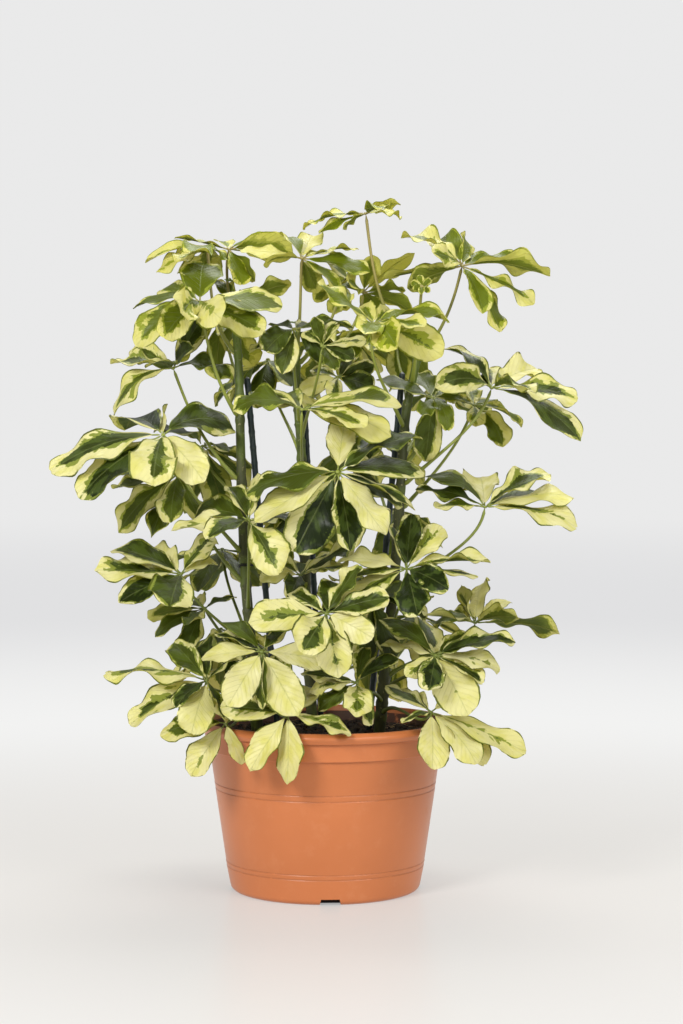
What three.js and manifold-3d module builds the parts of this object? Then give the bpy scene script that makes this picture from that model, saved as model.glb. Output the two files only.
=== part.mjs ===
// Potted umbrella plant: a variegated dwarf umbrella tree with three staked stems in a plastic nursery pot.
// Millimetres, +Z up. The origin is the middle of the pot's flat base, and -Y is the plant's front.
import * as THREE from "three";
import { mergeVertices } from "three/addons/utils/BufferGeometryUtils.js";
import Module from "manifold-3d";

const wasm = await Module();
wasm.setup();

// Driving dimensions, with angles in degrees.
const POT = { height: 174, rim: 130, base: 97.4, flare: 0.144, wall: 2.8, floor: 3.2, sides: 32 };
const COLLAR = { low: 145.2, high: 163.2, proud: 3 };
const NOTCH = { wide: 21, deep: 16, tall: 5.5, count: 4, turn: 3 };
const SOIL = { top: 158, mound: 4, crumb: 1.6, slack: 1.2, sides: 24 };
const STEM = { foot: 95, low: 6.4, high: 3.8, sides: 7, steps: 9 };
const BUD = { length: 16, sunk: 3, taper: 0.45, tip: 0.25, steps: 2 };
const CANE = { foot: 45, radius: 3.6, sides: 10 };
const TIE = { gap: 0.5, thick: 1.1, tall: 3.2, points: 4 };
const STALK = { low: 2.5, high: 1.6, out: 0.3, up: 0.28, sides: 4, steps: 3 };
const HUB = { radius: 3.2, thick: 1.8 };
const LEAFLET = { thick: 0.8, width: 0.42, wave: 0.03, curl: 24, long: 96, foot: 0.45 };
// The least angle between two leaflets of a leaf, the steepest fall of a seen one, and how the back ones droop.
const HANG = { apart: 15, steep: 65, droop: 36 };
// How far one leaflet may differ from the next.
const VARY = { angle: 6, length: 0.08, back: 0.07, width: 0.14, tilt: 9, stand: 20, curl: 0.6, twist: 22 };
// The gap where one piece passes through or grows from another, and the least gap beside a leaflet.
const FIT = 0.35;
const CLEAR = 0.8;

// Points along each stem's middle, each cane's foot and head, and the height of each band that ties them.
const STEMS = {
  left: [
    [-64, -10, STEM.foot], [-69, -12, 159], [-76, -14, 256], [-82, -12, 332], [-86, -8, 449], [-88, -2, 530],
    [-92, 6, 580],
  ],
  centre: [
    [-11, 35, STEM.foot], [-13, 36, 155], [-18, 38, 251], [-22, 40, 355], [-25, 41, 448], [-29, 40, 500],
    [-30, 34, 560],
  ],
  right: [
    [50, -5, STEM.foot], [55, -6, 158], [64, -7, 255], [72, -6, 337], [79, -2, 449], [85, 1, 500],
    [97, 4, 556],
  ],
};
const CANES = {
  left: [[-39, 14, CANE.foot], [-80, 5, 524]],
  centre: [[2, 57, CANE.foot], [-23, 55, 516]],
  right: [[34, 15, CANE.foot], [79, 10, 529]],
};
const TIES = { left: 332 };

// Each leaf: the stem it grows from, the height where it leaves it, its hub's x, y and z, how far its
// umbrella leans from level, the compass heading of that lean (0 is +X, 90 is +Y), its longest leaflet and its
// number of leaflets.
const LEAVES = [
  ["right", 545, 41, -5, 689, 8, 190, 66, 6],
  ["left", 545, -121, 10, 657, 10, 190, 68, 7],
  ["left", 566, -100, 42, 656, 10, 10, 66, 7],
  ["centre", 548, -24, 0, 644, 18, -80, 70, 9],
  ["centre", 505, 39, 30, 611, 28, 85, 70, 8],
  ["centre", 535, 12, 25, 616, 22, 110, 46, 6],
  ["right", 540, 138, -20, 635, 20, -55, 92, 12],
  ["right", 515, 96, -58, 612, 40, -85, 18, 7],
  ["right", 470, 48, -75, 575, 22, -45, 78, 8],
  ["left", 480, -125, -52, 597, 24, -110, 84, 9],
  ["left", 415, -154, -15, 532, 28, -130, 76, 7],
  ["centre", 475, -31, -32, 571, 32, -80, 64, 7],
  ["centre", 458, -3, -58, 553, 16, -70, 48, 6],
  ["right", 445, 13, -15, 523, 35, -80, 50, 6],
  ["centre", 400, -23, -85, 490, 20, -85, 90, 8],
  ["right", 410, 168, -22, 512, 18, -35, 104, 8],
  ["right", 385, 154, 38, 495, 20, -30, 66, 7],
  ["right", 430, 109, -12, 502, 30, -70, 66, 6],
  ["left", 342, -161, -65, 465, 28, -120, 116, 8],
  ["left", 312, -149, -15, 425, 40, -118, 84, 7],
  ["left", 285, -75, -95, 381, 26, -88, 86, 7],
  ["left", 245, -144, -55, 326, 30, -110, 90, 8],
  ["left", 225, -124, 15, 286, 30, -150, 74, 7],
  ["centre", 342, 12, -100, 429, 45, -90, 98, 11],
  ["right", 300, 161, -30, 392, 8, -55, 102, 8],
  ["right", 255, 80, -88, 333, 20, -82, 88, 10],
  ["centre", 262, -25, -42, 324, 28, -100, 68, 7],
  ["centre", 215, 1, -116, 291, 44, -88, 76, 8],
  ["right", 215, 152, -20, 274, 6, -55, 94, 8],
  ["left", 200, -62, -118, 254, 46, -92, 78, 8],
  ["left", 188, -118, -75, 221, 36, -112, 104, 9],
  ["left", 178, -98, -100, 182, 45, -105, 68, 6],
  ["left", 174, -36, -126, 195, 54, -90, 78, 7],
  ["right", 190, 31, -92, 221, 36, -95, 64, 7],
  ["right", 200, 109, -84, 247, 38, -80, 84, 9],
  ["right", 178, 104, -95, 192, 32, -48, 98, 8],
  ["left", 520, -88, 28, 600, 15, -90, 60, 7],
  ["right", 232, 47, -52, 302, 30, -70, 78, 8],
  ["left", 505, -110, 105, 588, 20, 120, 68, 7],
  ["centre", 490, 20, 140, 575, 14, 100, 80, 7],
  ["right", 495, 76, 110, 573, 18, 80, 64, 7],
  ["right", 433, 126, 130, 518, 18, 70, 68, 7],
  ["left", 382, -130, 100, 452, 22, 120, 72, 8],
  ["centre", 440, -62, 150, 545, 12, 100, 80, 8],
  ["right", 340, 50, 178, 468, 20, 90, 84, 8],
  ["right", 320, 80, 125, 384, 18, 80, 66, 7],
  ["left", 240, -110, 110, 342, 14, 110, 80, 8],
  ["centre", 278, -31, 185, 384, 22, 95, 90, 8],
  ["right", 205, 96, 120, 272, 14, 75, 76, 8],
  ["left", 195, -113, 142, 254, 24, 130, 84, 8],
  ["centre", 196, 46, 165, 244, 22, 90, 84, 8],
].map(([side, from, x, y, z, lean, heading, longest, count], index) => {
  const [l, h] = [THREE.MathUtils.degToRad(lean), THREE.MathUtils.degToRad(heading)];
  const normal = new THREE.Vector3(Math.sin(l) * Math.cos(h), Math.sin(l) * Math.sin(h), Math.cos(l));
  const down = new THREE.Vector3(Math.cos(l) * Math.cos(h), Math.cos(l) * Math.sin(h), -Math.sin(l));
  const across = new THREE.Vector3().crossVectors(normal, down);
  return { index, side, from, hub: new THREE.Vector3(x, y, z), normal, down, across, longest, count };
});

// The leaflets whose tips are seen from the front, by the leaf's number. Each has its tip's place to the right
// of the hub and above it, the share of its depth that goes back, or to the front if negative, and then, where
// they differ from the rule, the share of its width that shows, negative for its underside and over 1 if it is
// broad, and its curl in degrees.
const TIPS = {
  1: [
    [-66, -13, 0, 0.1, 30], [-50, -15, -0.4, 0.25], [-26, -17, -0.3, -0.6], [17, 3, -0.9], [35, 9, -0.4],
    [36, 1, 0.7, 0.2],
  ],
  2: [
    [-64, -17, 0.2, 0.25, 40], [-51, -28, -0.5, 0.4], [-29, -10, 0.6], [-26, -20, -0.8], [-10, -18, -0.9],
    [22, -11, 0.5, 0.3],
  ],
  3: [
    [-10, 13, 0.8], [54, 11, 0.4, 0.5, 50], [68, -5, -0.5, -0.8], [12, -43, -0.6, 0.8],
    [30, -34, -0.3, -0.7],
  ],
  4: [
    [10, 22, 0.8], [-19, 20, 0.6, 0.5, 50], [-40, -7, -0.6, -0.6], [36, 6, 0.7], [59, 11, 0.2, 0.2],
    [70, -10, 0.2, 0.5], [40, -36, -0.3, 0.5], [16, -34, 0.4, -1.2],
  ],
  5: [
    [9, 36, -0.5, -0.9], [52, 42, -0.3, -0.4], [41, 8, -0.3, -0.3], [54, -13, 0.2, -0.55], [17, -20, 0.8],
    [-38, 30, -0.3, 0.3], [-18, 22, -0.6, 0.4], [-40, 8, 0.3, 0.4],
  ],
  6: [[-25, -13, 0.5, -1], [-2, -27, 0.5, -1.2], [14, -18, 0.7, -1]],
  7: [
    [-61, 33, 0.3, 0.4, 50], [-57, -22, -0.3, -1.1], [-36, 12, -0.4, 0.7], [-28, 29, 0.7, 0.9, 60],
    [8, 33, 0.6, 0.65], [40, 19, 0.6, 0.45], [60, 8, 0.4, 0.4], [88, -12, -0.1, -0.3, 45], [76, -34, -0.2, 0.35],
    [44, -66, -0.4, 0.45], [20, -48, -0.5, 0.5], [-80, -14, 0.1, -0.25],
  ],
  8: [
    [-11, 5, 0.4, 1.3], [-5, 12, 0.6, 1.3], [5, 12, 0.6, 1.3], [10, 5, 0.4, 1.3], [8, -6, -0.5, 1.2],
    [-1, -8, -0.7, 1.2], [-9, -4, -0.5, 1.2],
  ],
  9: [
    [-12, 20, 0.5, 1], [20, 12, 0.6, 1], [75, 1, 0.3, 0.3, 60], [50, -4, -0.6], [73, -21, -0.2, 1.15],
    [20, -26, -0.9, 1.2], [-12, -20, -0.8],
  ],
  10: [
    [-67, -7, 0.3, 0.3, 60], [-43, 16, 0.6, 0.6, 50], [3, 37, 0.8, 1.4], [-64, -45, -0.3, 0.8, 50],
    [-34, -38, -0.6, 1, 30], [-16, -16, -0.9, 1], [12, -20, -0.9, 1], [83, -4, 0, 0.6, 30],
    [67, -22, -0.4, 0.9, 20],
  ],
  11: [
    [-65, 6, 0.3, 0.25, 30], [-58, -49, -0.2, 0.45, 85], [-44, 19, 0.5, 0.9, 30], [28, 52, 0.5, 1],
    [59, -13, 0.1, 0.4, 85], [20, 20, -0.5, 0.7], [-12, 6, -0.9],
  ],
  12: [
    [-29, -24, -0.6, 1.2, 50], [-12, -45, -0.5, 1], [32, -42, -0.5, 1.1], [-24, 6, 0.6, 0.3], [16, 8, 0.6],
    [-46, -24, 0.1, 0.5],
  ],
  13: [
    [44, 6, -0.2, 0.6], [14, 26, 0.6], [-8, 30, 0.5, 0.9], [-14, 16, 0.5, 0.8], [32, -8, -0.6, 0.9],
    [14, -20, -0.8],
  ],
  14: [
    [38, 12, 0.2, 1.1], [36, -12, -0.4, 1.3], [14, 24, 0.7], [-6, -22, -0.7, 1.2], [-36, -20, -0.2, 1.1],
    [-28, 8, 0.5],
  ],
  15: [
    [99, 8, 0.1, 0.45, 30], [92, -8, -0.3, 0.65], [63, -19, -0.5, 0.6], [-54, 14, 0.2, 0.5],
    [-70, -8, 0, 0.4, 60], [-50, 25, 0.5, 0.4],
  ],
  16: [
    [-46, 42, 0.5, 0.5, 50], [-58, 0, -0.5, 1, 60], [50, 20, 0.5, 0.7], [2, 22, 0.8], [88, -12, 0, 0.5, 30],
    [97, -38, 0, 0.3, 50], [32, -4, -0.8],
  ],
  17: [
    [50, -24, 0.2, 0.4, 60], [35, -39, -0.4, 0.9, 50], [0, -22, -0.5, 1.2], [19, 5, 0.7],
    [-26, 6, 0.5, 0.4],
  ],
  18: [[14, -34, -0.5, 0.9, 80], [-12, -16, -0.6], [-16, -64, -0.2, 1.1], [20, 8, 0.4]],
  19: [
    [-112, -38, -0.1, 0.5, 45], [-88, -58, -0.4, 0.6, 25], [-45, 8, 0.8, 0.3, 60], [-3, 22, 0.5, 0.35],
    [24, 33, 0.7, 0.4], [69, 4, 0.5, 0.7, 75], [-5, -50, -0.7, 1.1], [43, -38, -0.6, 1.1],
  ],
  20: [
    [-62, -60, -0.2, 0.6, 35], [-27, -64, -0.4, 0.7], [-6, -46, -0.6, 0.9], [-47, -28, 0.1, 0.5],
    [-60, 2, 0.5, 0.3], [-72, -14, 0.2, 0.3], [18, -33, -0.6, 0.9],
  ],
  21: [
    [-57, 2, 0.5, 0.6, 60], [-77, -8, -0.2, 0.5], [-40, -14, -0.7], [5, 41, 0.6, 0.6], [-10, 36, 0.5, 0.7],
    [30, -50, -0.6, 1.25],
  ],
  22: [
    [-86, 3, -0.1, 0.45], [-62, -27, -0.4, 0.7], [-37, 26, 0.5, 0.7], [-6, -26, -0.9, 1.2],
    [31, 37, 0.6, 0.8], [35, 10, 0.3, 0.6], [-76, 12, 0.3, 0.6], [50, 12, 0.6, 0.3],
  ],
  23: [
    [-59, -10, 0.1, -0.7, 30], [-55, -19, -0.4, 0.4, 30], [-13, -12, -0.8], [30, 10, 0.5],
    [-45, -34, -0.2, 1], [-28, -50, -0.3, 0.9],
  ],
  24: [
    [-42, -80, -0.4, 1.25], [14, -76, -0.5, 0.85], [46, -62, -0.5, 0.8], [-76, -57, -0.2, 0.7],
    [78, -36, -0.2, 0.25, 20], [74, -20, 0.1, 0.5], [86, -10, 0.3, 0.5, 50], [-90, -22, 0.1, 0.4, 50],
    [8, 52, 0.5, 1.1], [-66, -8, 0.3, 0.4], [84, 36, 0.4, 0.3, 50],
  ],
  25: [
    [-64, 32, 0.5, 0.4, 70], [-68, 17, 0.2, 0.25, 40], [-53, 0, -0.3, 0.3], [0, 32, 0.7, 1.1],
    [68, 32, 0.4, 0.6, 30], [92, 14, 0.2, 0.4, 20], [97, -3, -0.2, 0.35, 30], [70, 15, 0.6, 0.3],
  ],
  26: [
    [-70, 8, 0.3, 0.5, 30], [-12, 40, 0.6, 0.6], [6, 44, 0.5, 0.9], [38, 42, 0.3, 0.9],
    [84, 6, 0.1, 0.25, 30], [72, -4, -0.2, 0.25], [38, -16, -0.7, 1], [10, -34, -0.8, 1],
    [-66, -8, 0.1, 0.3], [-75, -28, -0.4, 0.5],
  ],
  27: [[-42, -4, 0.2, 0.8], [-10, -20, -0.7, 1.1], [0, 12, 0.6, 1], [35, 20, 0.5]],
  28: [
    [-22, -32, -0.8, 1.2], [12, -60, -0.5, 1.1], [45, -22, -0.5, 1.1], [-38, 20, 0.4], [6, 30, 0.7, 1],
    [36, 34, 0.5, 0.6], [-76, -8, -0.1, 0.8],
  ],
  29: [
    [87, -7, -0.1, -0.3, 20], [-43, -2, 0.3, 0.5, 60], [9, 36, 0.8, 0.7], [36, 23, 0.5, 0.6],
    [-14, 28, 0.6, -0.9], [-50, 26, 0.5, 0.4], [40, 8, -0.5, -0.7],
  ],
  30: [
    [-32, -51, -0.6, 1.15], [34, -64, -0.5, 1.3], [-60, -8, 0.1, 0.7, 30], [68, -10, 0, 0.9],
    [-42, 28, 0.5, 0.6, 80], [2, -55, -0.3, 0.3], [32, 26, 0.6, 0.6], [-50, 18, 0.3, 0.3],
  ],
  31: [
    [-103, 6, 0.1, 0.15, 45], [-75, -44, -0.3, 0.6, 35], [-12, -47, -0.7, 1.1], [30, 22, 0.6, 0.5],
    [2, 40, 0.6, 0.6], [-38, 36, 0.5], [-28, -28, -0.4], [22, -36, -0.4, 0.3], [16, -8, -0.9],
  ],
  32: [[-34, -52, -0.4, 0.8], [-64, -12, -0.1, 0.6, 50], [48, 18, 0.2, 0.4], [16, -38, -0.5, 0.8]],
  33: [[-38, -54, -0.5, 0.9], [0, -68, -0.4, 0.8], [62, -20, -0.2, 0.6]],
  34: [
    [0, -27, -0.9, 1.35], [-56, 8, 0.2, 0.6], [-50, -8, -0.1, 0.5], [42, 22, 0.3, 0.7, 60],
    [9, -42, -0.4, 0.7], [8, 34, 0.6], [-40, -22, -0.4],
  ],
  35: [
    [31, -56, -0.6, 1.4], [80, 14, 0.2, 0.6, 40], [66, -12, 0, 0.55], [48, -18, -0.4, 0.5],
    [-56, 8, 0.2, 0.4], [-55, 36, 0.4, 0.6, 50], [46, 20, 0.6, 0.7, 50], [-30, -18, -0.4, 0.8],
    [-8, -28, -0.7],
  ],
  36: [
    [-1, -50, -0.6, 0.95], [44, -46, -0.5, 0.65], [57, -44, -0.3, 0.5], [94, -41, -0.1, 0.45, 15],
    [40, 8, 0.4, 0.6, 60], [-44, 22, 0.3, 0.6], [-30, -8, -0.2, 0.4], [-28, 30, 0.5, 0.4],
  ],
  37: [[53, 22, 0.3, -0.7], [-35, -35, -0.5, -1], [15, -40, -0.5, -1], [-25, 30, 0.5]],
};

// What a leaflet may do to hang clear of its neighbours: lift its root and swing sideways, the least first.
const LIFTS = [0, -8, 8, -16, 16, -25, 25, -36, 36, 48];
const SWINGS = [0, 7, -7, 14, -14];
const effort = ({ lift, swing }) => Math.abs(lift) + 1.5 * Math.abs(swing);
const BENDS = LIFTS.flatMap((lift) => SWINGS.map((swing) => ({ lift, swing })));
BENDS.sort((a, b) => effort(a) - effort(b));
// How far a leaf's stalk may bow sideways to miss the others.
const BOWS = [0, 8, -8, 16, -16, 26, -26, 38, -38];

// Where a leaflet's outline has its corners: how far along the leaflet, and the share of its full width there.
// The first pair is its root, inside the hub.
const SHORT_ROWS = [[0.04, 0.05], [0.2, 0.12], [0.6, 1], [1, 0.52]];
const LONG_ROWS = [[0.04, 0.05], [0.2, 0.12], [0.47, 0.86], [0.76, 1], [1, 0.46]];
// A leaflet that is seen end on still has this share of the longest one's depth.
const DEPTH = 0.25;
// Where the plant is seen from, the least share of a leaflet's width that shows, and the most that one rolls.
const EYE = new THREE.Vector3(0, -2500, 480);
const SHOWN = { least: 0.4, roll: 75 };

const UP = new THREE.Vector3(0, 0, 1);
const TURN = 2 * Math.PI;
const { clamp, degToRad, lerp } = THREE.MathUtils;
const point = (p) => new THREE.Vector3(...p);
const mapSides = (make) => Object.fromEntries(Object.keys(STEMS).map((side) => [side, make(side)]));

// A repeatable number from -1 to 1 for a pair of counts.
function wobble(a, b) {
  const s = Math.sin(a * 12.9898 + b * 78.233) * 43758.5453;
  return 2 * (s - Math.floor(s)) - 1;
}

// A closed geometry as a solid that can be cut and joined.
function solidOf(geometry) {
  for (const name of Object.keys(geometry.attributes)) {
    if (name !== "position") geometry.deleteAttribute(name);
  }
  const merged = mergeVertices(geometry, 1e-4);
  const vertProperties = merged.attributes.position.array;
  const triVerts = new Uint32Array(merged.index.array);
  return new wasm.Manifold(new wasm.Mesh({ numProp: 3, vertProperties, triVerts }));
}

// A solid as a named mesh.
function meshOf(name, solid, material) {
  const { vertProperties, triVerts } = solid.getMesh();
  const geometry = new THREE.BufferGeometry();
  geometry.setAttribute("position", new THREE.BufferAttribute(vertProperties, 3));
  geometry.setIndex(new THREE.BufferAttribute(triVerts, 1));
  geometry.computeVertexNormals();
  const mesh = new THREE.Mesh(geometry, material);
  mesh.name = name;
  return mesh;
}

// The point of a rising curve at a height, found by halving.
function pointAtHeight(curve, height) {
  let [low, high] = [0, 1];
  while (high - low > 1e-9) {
    const middle = (low + high) / 2;
    if (curve.getPoint(middle).z < height) low = middle;
    else high = middle;
  }
  return curve.getPoint(low);
}

// A rod that tapers along a curve: an upright cylinder, bent.
function rod(curve, radiusAt, sides, steps) {
  const geometry = new THREE.CylinderGeometry(1, 1, 1, sides, steps);
  const spots = geometry.attributes.position;
  const chord = curve.getPoint(1).sub(curve.getPoint(0));
  const across = new THREE.Vector3().crossVectors(chord, UP);
  for (let i = 0; i < spots.count; i += 1) {
    const t = spots.getY(i) + 0.5;
    const along = curve.getTangent(t);
    const side = across.clone().projectOnPlane(along).normalize();
    const other = new THREE.Vector3().crossVectors(side, along);
    const p = curve.getPoint(t);
    p.addScaledVector(side, radiusAt(t) * spots.getX(i));
    p.addScaledVector(other, radiusAt(t) * spots.getZ(i));
    spots.setXYZ(i, p.x, p.y, p.z);
  }
  return solidOf(geometry);
}

// A profile of [radius, height] pairs turned about the vertical axis.
function turned(profile, sides) {
  const geometry = new THREE.LatheGeometry(profile.map(([r, z]) => new THREE.Vector2(r, z)), sides);
  return geometry.rotateX(Math.PI / 2);
}

const potRadius = (z) => POT.base + POT.flare * z;

function pot() {
  const { height, rim, base, wall, floor } = POT;
  const { low, high, proud } = COLLAR;
  const foot = [[0, 0], [base - 7, 0], [base - 1.5, 2.2], [potRadius(8), 8]];
  const lowEdge = [[potRadius(low), low], [potRadius(low) + proud, low + 1.2]];
  const collar = [...lowEdge, [potRadius(high) + proud, high]];
  const lip = [[rim - 1.4, high + 1.6], [rim, high + 5], [rim - 2, height - 1.4], [rim - 5, height]];
  const inside = [[rim - 8.5, height - 3], [potRadius(low) - wall, low - 2], [potRadius(12) - wall, 12]];
  const bottom = [[base - 10, floor], [0, floor]];
  let solid = solidOf(turned([...foot, ...collar, ...lip, ...inside, ...bottom], POT.sides));
  for (let i = 0; i < NOTCH.count; i += 1) {
    const notch = new THREE.BoxGeometry(NOTCH.wide, 2 * NOTCH.deep, 2 * NOTCH.tall);
    notch.translate(0, -base, 0).rotateZ(degToRad(NOTCH.turn + (360 * i) / NOTCH.count));
    solid = solid.subtract(solidOf(notch));
  }
  return solid;
}

// The potting soil, with a plain hole for each stem and cane.
function soil() {
  const within = (z) => potRadius(z) - POT.wall - SOIL.slack;
  const edge = within(SOIL.top - 4);
  const foot = [[0, POT.floor + FIT], [POT.base - 13.5, POT.floor + FIT]];
  const side = [[within(12.5), 12.5], [edge, SOIL.top - 4]];
  const top = [0.84, 0.6, 0.32, 0].map((share) => [share * edge, SOIL.top]);
  const geometry = turned([...foot, ...side, ...top], SOIL.sides);
  const spots = geometry.attributes.position;
  for (let i = 0; i < spots.count; i += 1) {
    const [x, y, z] = [spots.getX(i), spots.getY(i), spots.getZ(i)];
    if (z < SOIL.top - 1) continue;
    const middle = 1 - Math.hypot(x, y) / edge;
    const crumbs = Math.sin(0.21 * x + 1) * Math.cos(0.17 * y) + 0.6 * Math.sin(0.4 * x - 0.33 * y);
    spots.setZ(i, z + SOIL.mound * middle + SOIL.crumb * crumbs);
  }
  let solid = solidOf(geometry);
  for (const name of Object.keys(STEMS)) solid = solid.subtract(stem(name, FIT)).subtract(cane(name, FIT));
  return solid;
}

const curveThrough = (points) => new THREE.CatmullRomCurve3(points.map(point), false, "catmullrom");
const stemCurves = mapSides((side) => curveThrough(STEMS[side]));
const stemRadius = (t) => lerp(STEM.low, STEM.high, t);

function stem(side, extra = 0) {
  return rod(stemCurves[side], (t) => stemRadius(t) + extra, STEM.sides, STEM.steps);
}

// The pointed bud that ends a stem.
function bud(side, extra = 0) {
  const along = stemCurves[side].getTangent(1);
  const foot = stemCurves[side].getPoint(1).addScaledVector(along, -BUD.sunk);
  const tip = stemCurves[side].getPoint(1).addScaledVector(along, BUD.length + extra);
  const radius = (t) => STEM.high * (t === 1 ? BUD.tip : 1 - BUD.taper * t) + extra;
  return rod(new THREE.LineCurve3(foot, tip), radius, STEM.sides, BUD.steps);
}

function cane(side, extra = 0) {
  return rod(new THREE.LineCurve3(...CANES[side].map(point)), () => CANE.radius + extra, CANE.sides, 1);
}

// The band that holds a stem to its cane: an oval hoop round both.
function tie(side) {
  const height = TIES[side];
  const a = pointAtHeight(stemCurves[side], height);
  const b = pointAtHeight(new THREE.LineCurve3(...CANES[side].map(point)), height);
  const radii = [stemRadius((height - STEM.foot) / (STEMS[side].at(-1)[2] - STEM.foot)), CANE.radius];
  const apart = Math.hypot(b.x - a.x, b.y - a.y);
  const slant = Math.asin((radii[0] - radii[1]) / apart);
  const oval = (grow) => {
    const path = new THREE.Path();
    path.absarc(0, 0, radii[0] + grow, Math.PI / 2 - slant, (3 * Math.PI) / 2 + slant);
    path.absarc(apart, 0, radii[1] + grow, -Math.PI / 2 + slant, Math.PI / 2 - slant);
    return path.getPoints(TIE.points);
  };
  const shape = new THREE.Shape(oval(TIE.gap + TIE.thick));
  shape.holes.push(new THREE.Path(oval(TIE.gap)));
  const band = new THREE.ExtrudeGeometry(shape, { depth: TIE.tall, bevelEnabled: false, steps: 1 });
  band.rotateZ(Math.atan2(b.y - a.y, b.x - a.x)).translate(a.x, a.y, height - TIE.tall / 2);
  return solidOf(band);
}

// A leaf's stalk, from the middle of its stem out and up to its hub, bowed sideways.
function stalk({ side, from, hub, normal }, bow) {
  const root = pointAtHeight(stemCurves[side], from);
  const reach = hub.distanceTo(root);
  const out = hub.clone().sub(root).setZ(0).normalize();
  const sideways = new THREE.Vector3().crossVectors(UP, out).multiplyScalar(bow);
  const first = root.clone().add(sideways).addScaledVector(out, STALK.out * reach);
  first.addScaledVector(UP, STALK.up * reach);
  const last = hub.clone().add(sideways).addScaledVector(normal, -STALK.out * reach);
  const curve = new THREE.CubicBezierCurve3(root, first, last, hub);
  return rod(curve, (t) => lerp(STALK.low, STALK.high, Math.sqrt(t)), STALK.sides, STALK.steps);
}

// A leaflet whose tip is seen: its reach, its angle round the hub and how far it falls below the umbrella.
function seenLeaflet({ index, normal, down, across, longest }, [right, up, back, show, curl], k) {
  const grown = longest * (1 + VARY.length * wobble(index + 50, k));
  const depth = Math.sqrt(Math.max(grown ** 2 - right ** 2 - up ** 2, (DEPTH * grown) ** 2));
  const chord = new THREE.Vector3(right, back * depth, up);
  const reach = chord.length();
  const most = degToRad(HANG.steep);
  const fall = clamp(-Math.asin(chord.dot(normal) / reach), -most, most);
  return { k, reach, angle: Math.atan2(chord.dot(across), chord.dot(down)), fall, show, curl, seen: true };
}

// A leaflet that is only counted, at an angle round the hub. A leaf without any seen tips hangs like a half
// closed umbrella.
function countedLeaflet({ index, longest }, angle, k) {
  const grown = 1 - VARY.back * (1 - Math.cos(angle)) + VARY.length * wobble(index + 50, k);
  const tilt = wobble(index + 90, k);
  const fall = (TIPS[index + 1] ? 0 : HANG.droop) + VARY.tilt * tilt + VARY.stand * tilt ** 3;
  return { k, reach: longest * grown, angle, fall: degToRad(fall) };
}

// How far a seen leaflet is rolled about its own length, so that the given share of its width shows. Without
// one, at least the least share shows. flat points out of its face, and side across it.
function rollOf({ seen, show }, hub, flat, side) {
  if (!seen) return 0;
  const sight = EYE.clone().sub(hub).normalize();
  const bearing = Math.atan2(sight.dot(side), sight.dot(flat));
  const now = Math.cos(bearing);
  const wanted = show ?? (now < 0 ? -1 : 1) * Math.max(Math.abs(now), SHOWN.least);
  const open = Math.acos(clamp(wanted, -1, 1));
  const rolls = [open - bearing, -open - bearing].map((roll) => Math.atan2(Math.sin(roll), Math.cos(roll)));
  const roll = Math.abs(rolls[0]) < Math.abs(rolls[1]) ? rolls[0] : rolls[1];
  return clamp(roll, -degToRad(SHOWN.roll), degToRad(SHOWN.roll));
}

// All leaflets of a leaf: those whose tips are seen, then the others, each in the widest gap, the back first.
function leafletsOf(leaf) {
  const { index, down, across, count } = leaf;
  const seen = (TIPS[index + 1] ?? []).map((tip, k) => seenLeaflet(leaf, tip, k));
  const found = [...seen];
  for (let k = seen.length; k < count; k += 1) {
    let angle = (TURN * (k + 0.5 * (index % 2))) / count;
    if (seen.length) {
      const angles = found.map((leaflet) => leaflet.angle).sort((a, b) => a - b);
      const gaps = angles.map((a, i) => {
        const wide = i + 1 < angles.length ? angles[i + 1] - a : angles[0] + TURN - a;
        const middle = a + wide / 2;
        return { middle, worth: wide * (1.4 + Math.cos(middle) * down.y + Math.sin(middle) * across.y) };
      });
      const { middle } = gaps.sort((a, b) => b.worth - a.worth)[0];
      angle = middle > Math.PI ? middle - TURN : middle;
    }
    found.push(countedLeaflet(leaf, angle + degToRad(VARY.angle) * wobble(index, k), k));
  }
  return { seen, counted: found.slice(seen.length) };
}

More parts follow.
